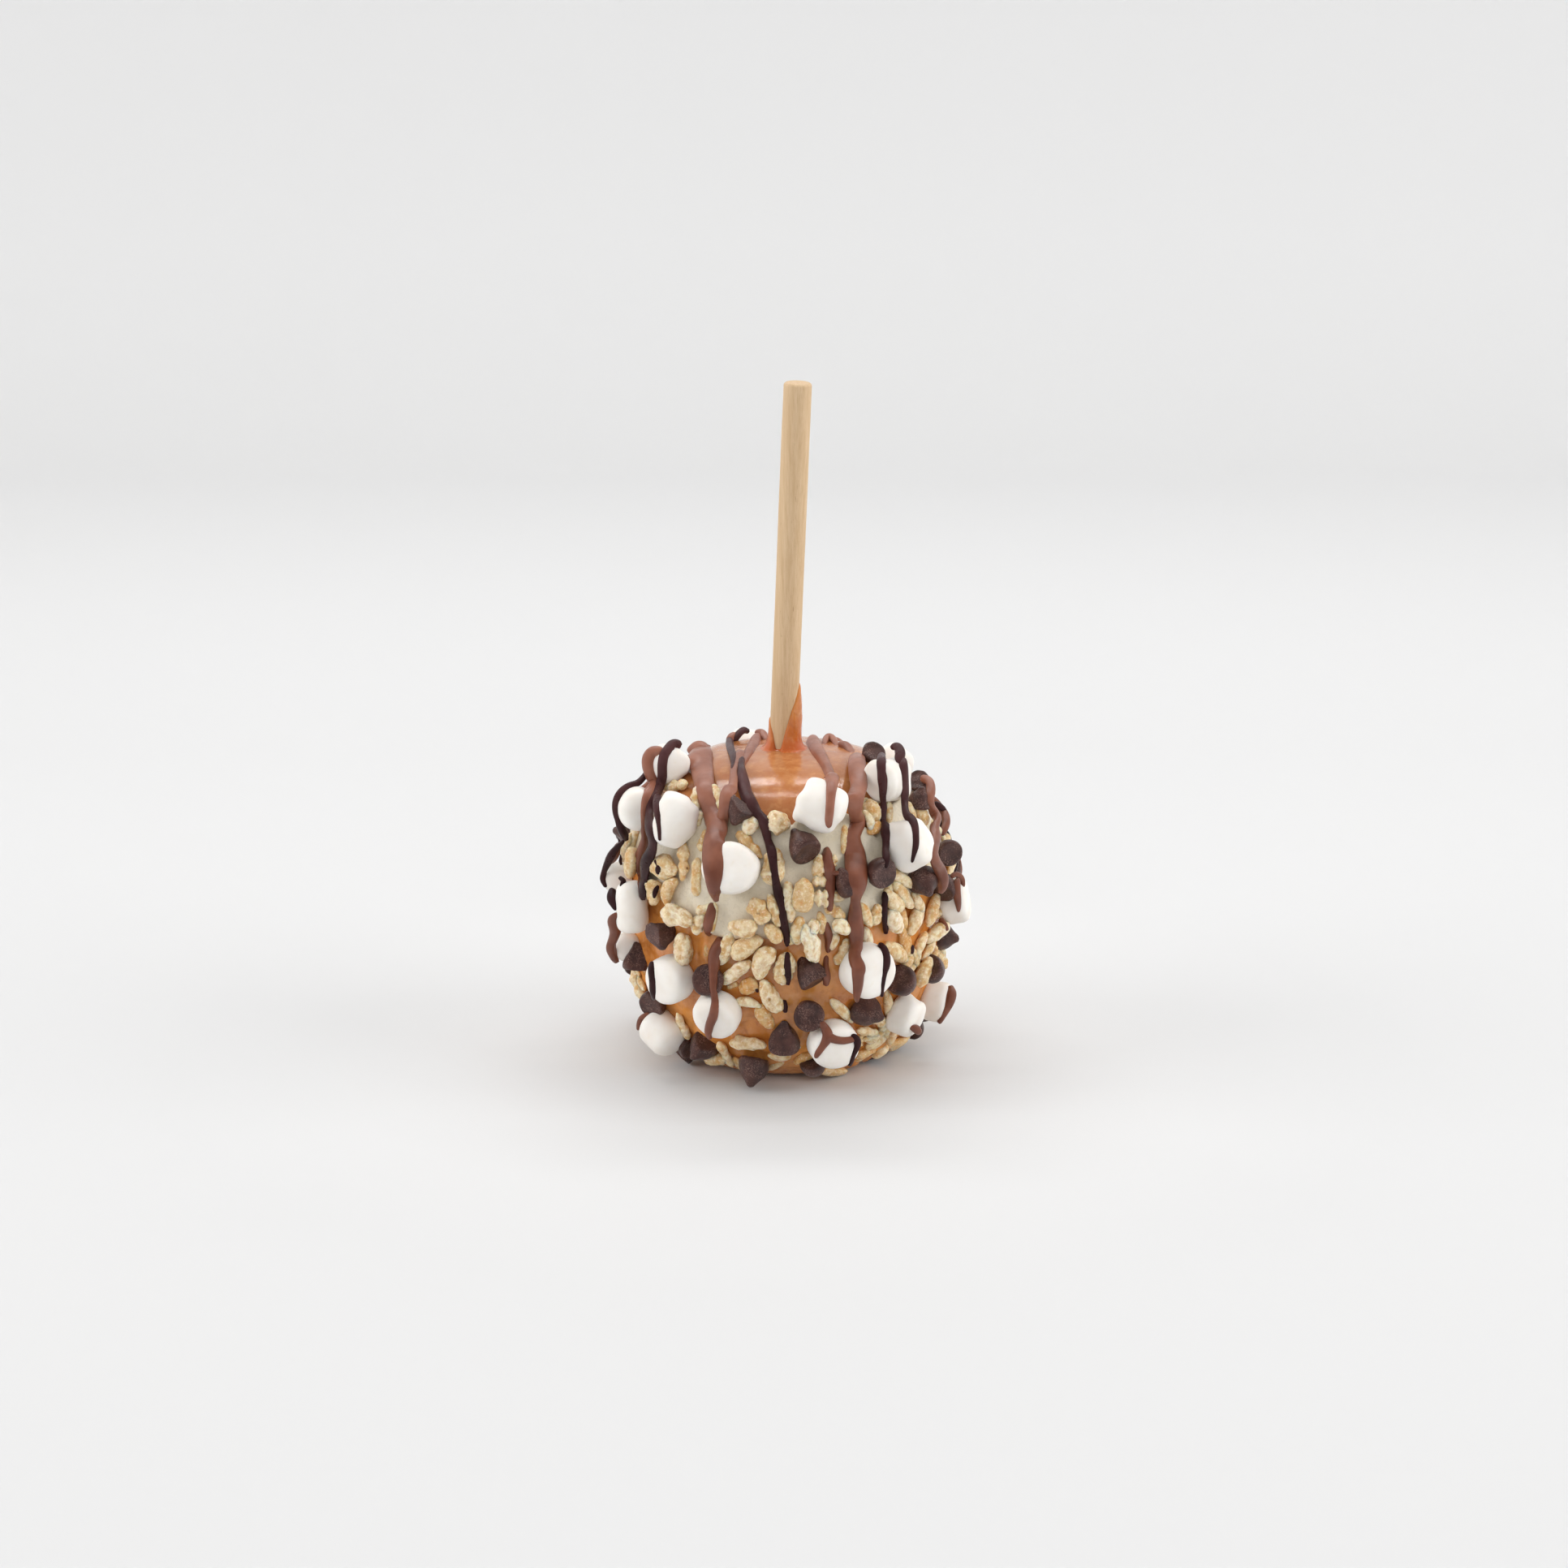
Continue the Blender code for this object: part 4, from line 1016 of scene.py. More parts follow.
# ------------------------------------------------------------------ drizzle paths
# View x, view y, width (pixels) along each strand that shows.
MILK = [
    [(813, 925, 10), (804, 927, 13), (799, 935, 14), (799, 946, 13), (803, 958, 12), (806, 966, 12),
     (800, 975, 13), (796, 985, 12), (793, 1000, 8), (793, 1020, 8), (795, 1032, 10), (793, 1042, 12),
     (789, 1052, 11), (787, 1062, 9), (787, 1072, 7), (789, 1082, 5), (787, 1092, 6), (789, 1104, 4)],
    [(862, 925, 27), (863, 930, 30), (864, 940, 29), (866, 955, 27), (868, 968, 24), (871, 985, 22),
     (875, 1000, 19), (881, 1012, 24), (883, 1020, 25), (881, 1030, 23), (880, 1040, 26), (879, 1060, 26),
     (880, 1080, 22), (881, 1095, 16), (881, 1102, 10), (882, 1109, 5)],
    [(933, 909, 11), (929, 916, 12), (924, 925, 11), (919, 934, 10), (916, 940, 9)],
    [(913, 931, 15), (908, 939, 13), (905, 948, 10), (904, 960, 9), (903, 970, 11), (897, 976, 15),
     (894, 986, 13), (892, 1000, 12), (889, 1014, 14), (885, 1024, 16)],
    [(1000, 913, 17), (1005, 922, 16), (1012, 934, 14), (1018, 946, 13), (1022, 955, 12)],
    [(1025, 954, 15), (1025, 960, 16), (1024, 970, 14), (1023, 982, 12), (1022, 1000, 11),
     (1021, 1010, 10), (1021, 1016, 8)],
    [(1056, 933, 20), (1056, 939, 21), (1056, 950, 22), (1057, 965, 21), (1056, 978, 20), (1054, 985, 18),
     (1054, 1000, 14), (1056, 1008, 17), (1057, 1014, 18), (1054, 1022, 17), (1051, 1030, 17),
     (1051, 1040, 20), (1053, 1050, 24), (1054, 1060, 26), (1055, 1075, 27), (1056, 1090, 22),
     (1055, 1100, 14), (1054, 1110, 10), (1054, 1120, 14), (1054, 1135, 18), (1055, 1150, 18),
     (1055, 1165, 16), (1054, 1180, 16), (1058, 1192, 18), (1057, 1200, 15), (1057, 1215, 12),
     (1056, 1226, 9), (1056, 1232, 6)],
    [(1138, 959, 8), (1145, 963, 10), (1147, 973, 10), (1146, 983, 9), (1147, 992, 8), (1151, 1001, 10),
     (1156, 1010, 10), (1156, 1020, 10), (1155, 1030, 9), (1153, 1042, 7), (1151, 1052, 8),
     (1153, 1062, 11), (1157, 1070, 13), (1161, 1080, 13), (1162, 1090, 11), (1161, 1101, 5)],
    [(1152, 991, 5), (1158, 996, 9), (1164, 1004, 10), (1166, 1014, 9), (1163, 1024, 7), (1162, 1028, 4)],
    [(877, 1116, 8), (877, 1124, 12), (873, 1138, 12), (873, 1147, 9), (874, 1151, 5)],
    [(759, 1127, 6), (752, 1134, 11), (749, 1145, 14), (750, 1158, 14), (753, 1170, 12), (757, 1180, 9),
     (759, 1185, 5)],
    [(1019, 1047, 7), (1019, 1053, 12), (1019, 1060, 12), (1021, 1070, 14), (1023, 1080, 12),
     (1023, 1090, 11), (1023, 1100, 9), (1023, 1110, 7), (1023, 1120, 6)],
    [(1022, 1073, 10), (1029, 1076, 7), (1034, 1075, 4)],
    [(1019, 1138, 4), (1019, 1145, 9), (1021, 1152, 11), (1021, 1160, 8), (1020, 1167, 6), (1020, 1172, 4)],
    [(1018, 1180, 6), (1018, 1190, 5), (1019, 1203, 8), (1018, 1212, 6)],
    [(886, 1157, 6), (885, 1162, 9), (881, 1175, 14), (880, 1190, 14), (879, 1200, 11), (879, 1220, 9),
     (881, 1232, 9), (881, 1242, 11), (879, 1252, 12), (875, 1262, 11), (873, 1272, 9), (874, 1279, 4)],
    [(1180, 1085, 6), (1179, 1095, 8), (1180, 1108, 8), (1181, 1117, 6), (1181, 1122, 4)],
    [(1173, 1079, 5), (1179, 1077, 7), (1185, 1083, 7), (1187, 1091, 4)],
    [(1013, 1262, 9), (1017, 1268, 11), (1020, 1277, 14), (1014, 1288, 9), (1008, 1297, 8), (1006, 1301, 6)],
    [(1020, 1277, 12), (1030, 1281, 10), (1040, 1282, 9), (1051, 1280, 8)],
    [(1172, 1217, 6), (1172, 1224, 12), (1170, 1234, 11), (1166, 1244, 8), (1162, 1252, 6), (1158, 1259, 5)],
    [(798, 1249, 4), (790, 1254, 6), (786, 1262, 5), (785, 1267, 4)],
    [(1159, 1134, 5), (1164, 1138, 5), (1167, 1145, 4)],
    [(765, 1039, 3), (757, 1043, 8), (750, 1050, 9), (746, 1058, 6), (744, 1064, 3)],
    [(1124, 1266, 8), (1130, 1269, 11), (1134, 1273, 7)],
]
MILK_FAR = [
    [(850, 923, 8), (858, 920, 13), (866, 921, 13), (873, 925, 7)],
    [(1015, 916, 6), (1018, 910, 8), (1022, 908, 9), (1027, 911, 8), (1030, 917, 6)],
    [(1036, 917, 7), (1043, 919, 9), (1050, 926, 6)],
    [(934, 903, 8), (939, 904, 11), (943, 909, 8)],
    [(898, 912, 7), (901, 908, 9), (904, 905, 6)],
]
DARK_UNDER = [
    [(801, 945, 6), (796, 953, 6), (790, 958, 6), (783, 965, 7), (773, 969, 7), (764, 977, 8), (759, 988, 8),
     (758, 1000, 6), (761, 1010, 6), (765, 1020, 9), (769, 1028, 9), (771, 1034, 5)],
]
DARK = [
    [(768, 1037, 4), (760, 1045, 8), (753, 1055, 11), (748, 1065, 9), (744, 1075, 7), (743, 1083, 7),
     (746, 1091, 5)],
    [(835, 917, 10), (829, 917, 11), (823, 924, 12), (818, 932, 12), (816, 945, 12),
     (816, 958, 12), (813, 968, 10), (808, 978, 12), (803, 988, 13), (800, 1000, 9), (800, 1012, 9),
     (801, 1022, 10), (804, 1033, 9), (804, 1042, 9), (802, 1050, 11), (797, 1060, 13), (795, 1070, 11),
     (794, 1080, 8), (793, 1090, 9), (792, 1100, 8), (792, 1107, 5)],
    [(810, 982, 8), (809, 992, 8), (810, 1002, 7), (812, 1014, 6), (813, 1026, 5), (813, 1034, 4)],
    [(899, 914, 10), (900, 922, 10), (903, 931, 9), (903, 940, 5), (902, 946, 3)],
    [(914, 936, 7), (913, 945, 9), (914, 953, 11), (916, 965, 14), (920, 980, 15), (926, 990, 13), (932, 1000, 12),
     (940, 1010, 13), (943, 1018, 12), (945, 1030, 9), (948, 1040, 10), (951, 1050, 12), (953, 1065, 10),
     (955, 1080, 9), (957, 1092, 11), (960, 1103, 12), (964, 1120, 9), (965, 1132, 11), (967, 1143, 10),
     (969, 1152, 9), (970, 1158, 8), (970, 1164, 5)],
    [(1086, 933, 11), (1086, 940, 12), (1087, 950, 11), (1088, 960, 12), (1089, 970, 11), (1088, 984, 8),
     (1089, 995, 7), (1088, 1010, 7), (1091, 1018, 10), (1092, 1026, 12), (1092, 1036, 9), (1091, 1048, 9),
     (1092, 1056, 9), (1092, 1063, 7), (1092, 1068, 4)],
    [(1112, 938, 10), (1113, 945, 10), (1114, 960, 9), (1115, 975, 8), (1115, 990, 7), (1116, 1000, 7),
     (1119, 1006, 9), (1124, 1011, 10), (1127, 1020, 9), (1128, 1030, 8), (1128, 1042, 8), (1126, 1052, 6),
     (1124, 1061, 4)],
    [(1090, 1101, 6), (1091, 1106, 9), (1090, 1115, 7), (1089, 1125, 8), (1090, 1135, 7), (1091, 1144, 6),
     (1091, 1149, 4)],
    [(1085, 1165, 7), (1089, 1170, 9), (1092, 1180, 9), (1092, 1190, 8), (1090, 1198, 6), (1088, 1210, 5),
     (1087, 1220, 4), (1087, 1227, 3)],
    [(804, 1188, 7), (803, 1195, 8), (804, 1208, 7), (805, 1220, 8), (806, 1230, 5)],
    [(970, 1176, 6), (970, 1185, 8), (970, 1195, 9), (971, 1205, 7), (971, 1212, 4)],
    [(1052, 1277, 7), (1056, 1282, 9), (1056, 1290, 7), (1052, 1298, 5), (1049, 1306, 6), (1047, 1312, 4)],
    [(967, 1234, 4), (967, 1240, 7), (968, 1246, 4)],
    [(811, 1069, 6), (811, 1072, 7), (811, 1075, 5)],
    [(807, 1061, 3), (809, 1065, 2), (811, 1069, 3)],
    [(810, 1093, 5), (807, 1099, 7), (806, 1105, 4)],
    [(1124, 1166, 4), (1124, 1170, 5), (1124, 1174, 3)],
    [(932, 1219, 4), (933, 1221, 4)],
    [(765, 1054, 2), (764, 1060, 3), (765, 1065, 2)],
    [(764, 1082, 4), (768, 1086, 6), (765, 1091, 3)],
    [(754, 1098, 8), (753, 1106, 11), (756, 1114, 8), (758, 1120, 4)],
]
DARK_FAR = [
    [(1101, 919, 8), (1106, 920, 12), (1109, 926, 13), (1109, 932, 13), (1108, 939, 8)],
    [(921, 901, 5), (917, 900, 8), (913, 902, 8), (909, 906, 8), (906, 911, 6)],
]




def lay_strand(reach, start, way, along, across, height, most, deep=0.13, caps=4, bare=None):
    """A strand on what a grid of lines meets: points of its cross-sections, ring by ring.

    start, way: lines, (sections, steps across, 3); along, across: their spacing;
    height: how thick the strand is on each line; bare: the apple without its toppings."""
    n, m = start.shape[:2]
    met = np.array([[reach.hit(Vector(start[i, j]), Vector(way[i, j]), deep) for j in range(m)] for i in range(n)])
    t = met.copy()
    reached = np.concatenate([[0], np.cumsum(along)])
    steep, steep_across = np.full(n, most), np.full(n, 1.0)
    if bare is not None:
        # where the apple itself runs away from the viewer, so may the strand
        base = np.array([[bare.hit(Vector(start[i, j]), Vector(way[i, j]), deep) for j in (1, m // 2, m - 2)]
                         for i in range(n)])
        found = base < deep - 1e-6
        if found[:, 1].sum() > 3:
            own = np.abs(np.gradient(np.where(found[:, 1], base[:, 1], np.nan), reached))
            own = np.where(np.isfinite(own), own, 0.0)
            wide = np.maximum(height.max(1) * 2, 0.0006)
            over = np.where(found.all(1), np.abs(base[:, 2] - base[:, 0]) / wide, 0.0)
            for _ in range(3):
                own[1:-1] = np.maximum(own[1:-1], 0.5 * (own[:-2] + own[2:]))
            steep = np.clip(1.3 * own + 0.6, most, 8.0)
            steep_across = np.clip(1.3 * over + 0.6, 1.0, 8.0)
    for _ in range(3):
        for i in range(1, n):
            t[i] = np.minimum(t[i], t[i - 1] + steep[i] * along[i - 1])
        for i in range(n - 2, -1, -1):
            t[i] = np.minimum(t[i], t[i + 1] + steep[i] * along[i])
        for j in range(1, m):
            t[:, j] = np.minimum(t[:, j], t[:, j - 1] + steep_across * across)
        for j in range(m - 2, -1, -1):
            t[:, j] = np.minimum(t[:, j], t[:, j + 1] + steep_across * across)
    sink = 0.00008 + 0.5 * height.max(1)[:, None]
    for _ in range(22):
        soft = t.copy()
        soft[1:-1] = 0.25 * t[:-2] + 0.5 * t[1:-1] + 0.25 * t[2:]
        soft[:, 1:-1] = 0.25 * soft[:, :-2] + 0.5 * soft[:, 1:-1] + 0.25 * soft[:, 2:]
        t = np.minimum(soft, met + sink)
    for _ in range(5):
        t[1:-1] = 0.25 * t[:-2] + 0.5 * t[1:-1] + 0.25 * t[2:]
    for end, near, far in ((range(caps), caps, caps + 3), (range(n - caps, n), n - caps - 1, n - caps - 4)):
        if not 0 <= far < n:
            continue
        middle, most_here = t[near].mean(), max(0.4, 0.8 * (steep[near] - 0.6))
        slope = (middle - t[far].mean()) / max(abs(reached[near] - reached[far]), 1e-6)
        slope = min(max(slope, -most_here), most_here)
        for i in end:
            t[i] = middle + slope * abs(reached[i] - reached[near]) + (t[near] - middle) * (height[i].max() / max(height[near].max(), 1e-9))
    p = start + way * t[..., None]
    # nothing hangs free: a stretch that is well off everything comes back to it
    shift = np.zeros((n, 3))
    for i in range(n):
        middle = Vector(p[i].mean(0))
        place, gap = reach.nearest(middle, 0.02)
        allowed = 0.0010 if met[i].min() > deep - 1e-6 else 0.0026
        if place is not None and gap > allowed:
            shift[i] = np.array(place - middle) * (gap - allowed) / gap
    for _ in range(14):
        shift[1:-1] = 0.25 * shift[:-2] + 0.5 * shift[1:-1] + 0.25 * shift[2:]
    p = p + shift[:, None, :]
    normal = np.cross(np.gradient(p, axis=0), np.gradient(p, axis=1))
    normal /= np.maximum(np.linalg.norm(normal, axis=-1), 1e-12)[..., None]
    normal *= -np.sign((normal * way).sum(-1))[..., None]
    for _ in range(10):
        normal[1:-1] = 0.25 * normal[:-2] + 0.5 * normal[1:-1] + 0.25 * normal[2:]
    normal /= np.maximum(np.linalg.norm(normal, axis=-1), 1e-12)[..., None]
    if n > 3 * caps:
        normal[:caps], normal[n - caps:] = normal[caps], normal[n - caps - 1]
    outer = p + normal * height[..., None]
    for _ in range(4):
        outer[1:-1] = 0.25 * outer[:-2] + 0.5 * outer[1:-1] + 0.25 * outer[2:]
    inner = (p - normal * np.minimum(0.00045, 0.0002 + 0.5 * height)[..., None])[:, ::-1][:, 1:-1]
    return np.concatenate([outer, inner], axis=1)


def add_strand(pile, rings):
    n, m = rings.shape[:2]
    ends = rings[0].mean(0), rings[-1].mean(0)
    quads, tris = blob_faces(n, m)
    pile.add(np.concatenate([[ends[0]], rings.reshape(-1, 3), [ends[1]]]), quads, tris, 0.0)


def strand_line(knots, step, head=True):
    """Fine middle points and widths of a strand with round ends."""
    size = [math.hypot(b[0] - a[0], b[1] - a[1]) for a, b in zip(knots, knots[1:])]
    line = spline(knots, max(3, int(math.ceil(sum(size) / len(size) / step))))
    rows = []
    for end, beyond in ((0, 1), (-1, -2)):
        way = line[end, :2] - line[beyond, :2]
        way = way / max(np.linalg.norm(way), 1e-9)
        half = line[end, 2] / 2
        cap = [np.array([*(line[end, :2] + way * min(half, 5.0) * k), 2 * half * math.sqrt(max(1 - k * k, 0.0))])
               for k in (0.35, 0.62, 0.82, 0.94)]
        rows.append(cap)
    return np.array(rows[0][::-1] + list(line) + rows[1])


def profile(half, u, thick):
    return np.minimum(half * 0.86, thick)[:, None] * np.sqrt(np.maximum(1 - np.abs(u) ** 2.2, 0))[None, :]


def shown_strand(pile, reach, bare, knots, thick=0.00115, most=1.1, step=1.6):
    """A strand that shows, given by view points and widths in pixels."""
    line = strand_line(knots, step)
    step_xy = np.gradient(line[:, :2], axis=0)
    step_xy /= np.maximum(np.linalg.norm(step_xy, axis=1), 1e-9)[:, None]
    for _ in range(2):
        step_xy[1:-1] = 0.25 * step_xy[:-2] + 0.5 * step_xy[1:-1] + 0.25 * step_xy[2:]
    side = np.stack([-step_xy[:, 1], step_xy[:, 0]], 1)
    half = np.maximum(line[:, 2], 0.6) / 2
    u = np.sin(np.linspace(-1, 1, 11) * math.pi / 2)
    x = line[:, 0, None] + side[:, 0, None] * half[:, None] * u[None, :]
    y = line[:, 1, None] + side[:, 1, None] * half[:, None] * u[None, :]
    way = (np.array(FORWARD) + ((x - VIEW_CENTRE) / VIEW_FOCAL)[..., None] * np.array(RIGHT)
           + ((VIEW_CENTRE - y) / VIEW_FOCAL)[..., None] * np.array(UP))
    way /= np.linalg.norm(way, axis=-1)[..., None]
    start = np.array(EYE) + way * (VIEW_DISTANCE - 0.065)
    along = np.linalg.norm(np.diff(line[:, :2], axis=0), axis=1) / PX_MM * MM
    across = (half / PX_MM * MM * 2 / 10).mean()
    height = profile(half / PX_MM * MM, u, thick)
    # a wide strand runs out thin where it comes over the top
    gone = np.concatenate([[0], np.cumsum(along)]) / 0.0022
    if knots[0][2] > 18:
        height = height * (0.40 + 0.60 * np.clip(gone, 0, 1) ** 2 * (3 - 2 * np.clip(gone, 0, 1)))[:, None]
    add_strand(pile, lay_strand(reach, start, way, along, across, height, most, bare=bare))


def round_strand(pile, reach, knots, thick=0.0011, most=1.1):
    """A strand given by (degrees, millimetres up along the outline, width in millimetres)."""
    def place(rows):
        angle, run = np.radians(rows[:, 0]), np.clip(rows[:, 1] * MM, 0.0, ALONG[-1])
        return outward(angle, run)

    knots = np.array(knots, float)
    fine = spline(knots, 9)
    p, _ = place(fine)
    run = np.concatenate([[0], np.cumsum(np.linalg.norm(np.diff(p, axis=0), axis=1))])
    count = max(6, int(run[-1] / 0.00032))
    at = np.linspace(0, run[-1], count)
    line = np.stack([np.interp(at, run, fine[:, k]) for k in range(3)], 1)
    share = np.minimum(1.0, np.minimum(at, run[-1] - at) / (line[:, 2] * MM / 2) + 0.06)
    line[:, 2] *= np.sqrt(1 - (1 - share) ** 2)
    p, normal = place(line)
    step = np.gradient(p, axis=0)
    side = np.cross(step, normal)
    side /= np.maximum(np.linalg.norm(side, axis=1), 1e-12)[:, None]
    half = np.maximum(line[:, 2], 0.1) * MM / 2
    u = np.sin(np.linspace(-1, 1, 9) * math.pi / 2)
    start = p[:, None, :] + side[:, None, :] * (half[:, None] * u[None, :])[..., None] + normal[:, None, :] * 0.016
    way = np.broadcast_to(-normal[:, None, :], start.shape)
    along = np.linalg.norm(np.diff(p, axis=0), axis=1)
    add_strand(pile, lay_strand(reach, start, way, along, (half * 2 / 8).mean(), profile(half, u, thick), most, 0.022))


# ------------------------------------------------------------------ surfaces by array
def outward(angle, run):
    """Points and outward normals of the apple by direction and by distance along its outline."""
    r = np.interp(run, ALONG, FINE_RZ[:, 0])
    z = np.interp(run, ALONG, FINE_RZ[:, 1])
    e = 0.0005
    dr = np.interp(run + e, ALONG, FINE_RZ[:, 0]) - np.interp(run - e, ALONG, FINE_RZ[:, 0])
    dz = np.interp(run + e, ALONG, FINE_RZ[:, 1]) - np.interp(run - e, ALONG, FINE_RZ[:, 1])
    size = np.maximum(np.hypot(dr, dz), 1e-12)
    nr, nz = dz / size, -dr / size
    grown = r * (1 + unrounds(angle, z))
    p = np.stack([grown * np.sin(angle), -grown * np.cos(angle), z], -1)
    normal = np.stack([nr * np.sin(angle), -nr * np.cos(angle), nz], -1)
    return p, normal


def unrounds(angle, z):
    shoulder = np.exp(-((z - 0.060) / 0.018) ** 2)
    belly = np.sin(np.pi * np.clip(z / 0.0700, 0.0, 1.0))
    return (LOBE_DEPTH * shoulder * np.cos(LOBES * (angle - 0.35))
            + OVAL * belly * np.cos(2 * (angle - 0.9)))


def relief(p):
    """How uneven the poured surface is, in metres."""
    low = np.clip((p[:, 2] - 0.001) / 0.006, 0, 1)
    top = np.clip((np.hypot(p[:, 0], p[:, 1]) - 0.0045) / 0.004, 0, 1)
    calm = 1 - 0.65 * np.clip((p[:, 2] - 0.056) / 0.010, 0, 1)
    return low * top * calm * (0.00028 * fbm(p, 0.0095, 2, 61) + 0.00011 * fbm(p, 0.0030, 2, 67))


def make_core():
    around, rings = 264, 168
    run = np.concatenate([np.zeros(5), np.linspace(0, ALONG[-1], rings)])
    shrink = np.concatenate([[0.2, 0.45, 0.7, 0.88, 0.97], np.ones(rings)])
    angle = 2 * np.pi * np.arange(around) / around
    p, normal = outward(np.broadcast_to(angle, (len(run), around)), run[:, None] * np.ones(around))
    p[..., :2] *= shrink[:, None, None]
    p, normal = p.reshape(-1, 3), normal.reshape(-1, 3)
    inner = np.hypot(p[:, 0], p[:, 1])
    top = p[:, 2] > 0.07
    p = p + normal * relief(p)[:, None]
    p[:, 2] = np.where(top & (inner < 0.0072), 0.0731 + (0.0072 - inner) * 0.10, p[:, 2])
    p[:, 2] = np.maximum(p[:, 2], 0.0)
    v = np.concatenate([[[0, 0, 0]], p, [[0, 0, 0.0734]]])
    normal = np.concatenate([[[0, 0, -1]], normal, [[0, 0, 1]]])
    return v, normal, *blob_faces(len(run), around)


# Finer shape of the band's upper edge where it shows: degrees, mm.
EDGE_HIGH = [(-40, 0.4), (-30, 0.9), (-20, 0.4), (-12, 0.2), (-9, -0.7), (-4, -0.5), (-1, 0.2), (2, -0.7),
             (5, 0.4), (9, 0.8), (16, 0.2), (24, 0.5), (30, -0.6), (37, -1.6), (42, 0.2)]
EDGE_LOW = [(-52, 0.8), (-44, -0.6), (-38, 1.0), (-30, 0.6), (-24, -0.8), (-16, -0.6), (-8, 0.3), (2, -0.2),
            (8, 0.6), (18, -0.3), (30, 0.4), (44, -0.2)]


def make_coat():
    around, outer, inner = 264, 44, 5
    angle = 2 * np.pi * np.arange(around) / around
    degrees = (np.degrees(angle) + 180) % 360 - 180
    low = np.array([round_curve(BAND_LOW, d) for d in degrees]) * MM
    high = np.array([round_curve(BAND_HIGH, d) for d in degrees]) * MM
    wave = np.stack([np.sin(angle), np.cos(angle), np.zeros(around)], 1) * 0.035
    low = low + 0.0011 * fbm(wave, 0.008, 3, 71)
    high = high + 0.0006 * fbm(wave, 0.006, 3, 73)
    shown = np.exp(-np.maximum(np.abs(degrees) - 48, 0) / 6)
    high = high + MM * shown * np.interp(degrees, *zip(*EDGE_HIGH))
    low = low + MM * shown * np.interp(degrees, *zip(*EDGE_LOW))
    runs = np.interp(np.stack([low, high]), FINE_RZ[:, 1], ALONG)
    length = runs[1] - runs[0]
    t = (1 - np.cos(np.linspace(0, 1, outer) * np.pi)) / 2
    run_out = runs[0][None] + t[:, None] * length[None]
    up = (run_out - runs[0][None]) / 0.0030
    down = (runs[1][None] - run_out) / 0.0013
    full = COAT_GAP + COAT_T
    thick = full * np.sqrt(np.clip(1 - (1 - np.clip(up, 0, 1)) ** 2.2, 0, 1)) * np.sqrt(np.clip(1 - (1 - np.clip(down, 0, 1)) ** 2, 0, 1))
    off_out = np.maximum(thick, 0.0) - 0.00015 * (thick <= 0)
    tin = np.linspace(0.985, 0.015, inner)
    run_in = runs[0][None] + tin[:, None] * length[None]
    run = np.concatenate([run_out, run_in])
    off = np.concatenate([off_out, np.full((inner, around), -0.0007)])
    p, normal = outward(np.broadcast_to(angle, run.shape), run)
    p, normal = p.reshape(-1, 3), normal.reshape(-1, 3)
    thin = np.clip(1 - off.ravel() / full, 0, 1)
    uneven = relief(p) + 0.00012 * fbm(p, 0.0045, 2, 79) * (off.ravel() > 0.0006)
    v = p + normal * (off.ravel() + np.where(off.ravel() > -0.0005, uneven, 0.0))[:, None]
    lower = np.concatenate([np.clip(1 - up, 0, 1), np.ones((inner, around))]).ravel()
    return v, normal, loop_faces(len(run), around), np.clip(thin * (0.3 + 0.7 * lower), 0, 1), off.ravel() > -0.0005


# ------------------------------------------------------------------ the stick and its caramel
def stick_frame():
    axis = Vector((STICK_LEAN_X, STICK_LEAN_Y, 1)).normalized()
    entry = Vector(STICK_ENTRY)
    top = entry + axis * ((STICK_TOP_Z - entry.z) / axis.z)
    turn = axis.to_track_quat("Z", "Y").to_matrix().to_4x4()
    return Matrix.Translation(top - axis * STICK_LENGTH) @ turn


STICK = stick_frame()
AXIS = np.array(STICK)[:3, 2]
STICK_FRONT = -np.array(FORWARD) + AXIS * (np.array(FORWARD) @ AXIS)
STICK_FRONT /= np.linalg.norm(STICK_FRONT)
STICK_RIGHT = np.cross(AXIS, STICK_FRONT)
STICK_RIGHT *= np.sign(STICK_RIGHT[0])
STICK_FOOT = np.array(STICK)[:3, 3]


def stick_points(theta, height, radius):
    """Points about the stick: degrees from the front towards the right, height up it, radius."""
    a = np.radians(theta)
    return (STICK_FOOT + AXIS * np.asarray(height)[..., None]
            + (STICK_FRONT * np.cos(a)[..., None] + STICK_RIGHT * np.sin(a)[..., None]) * np.asarray(radius)[..., None])


def make_stick():
    r, c, n = STICK_D / 2, STICK_ROUNDING * 0.55, STICK_LENGTH
    bend = [(r - c + c * math.sin(k * math.pi / 10), n - c + c * math.cos(k * math.pi / 10)) for k in range(5, -1, -1)]
    rz = [(0.4 * r, 0.040), (r, 0.0402)] + [(r, float(z)) for z in np.linspace(0.046, n - c - 0.0004, 62)] + bend
    rz += [(k * (r - c), n - 0.00002 * (k < 0.9)) for k in (0.85, 0.6, 0.3)]
    around = 56
    theta = 360 * np.arange(around) / around
    v = np.concatenate([stick_points(theta, np.full(around, z), np.full(around, q)) for q, z in rz])
    axis_at = ((v - STICK_FOOT) @ AXIS)[:, None] * AXIS + STICK_FOOT
    out = (v - axis_at) / np.maximum(np.linalg.norm(v - axis_at, axis=1), 1e-9)[:, None]
    stretched = np.stack([(v - STICK_FOOT) @ STICK_FRONT, (v - STICK_FOOT) @ STICK_RIGHT, (v - STICK_FOOT) @ AXIS * 0.05], 1)
    v = v + out * (0.00005 * fbm(stretched, 0.0012, 3, 83))[:, None]
    ends = STICK_FOOT + AXIS * 0.040, STICK_FOOT + AXIS * (n - 0.00002)
    quads, tris = blob_faces(len(rz), around)
    return np.concatenate([[ends[0]], v, [ends[1]]]), quads, tris


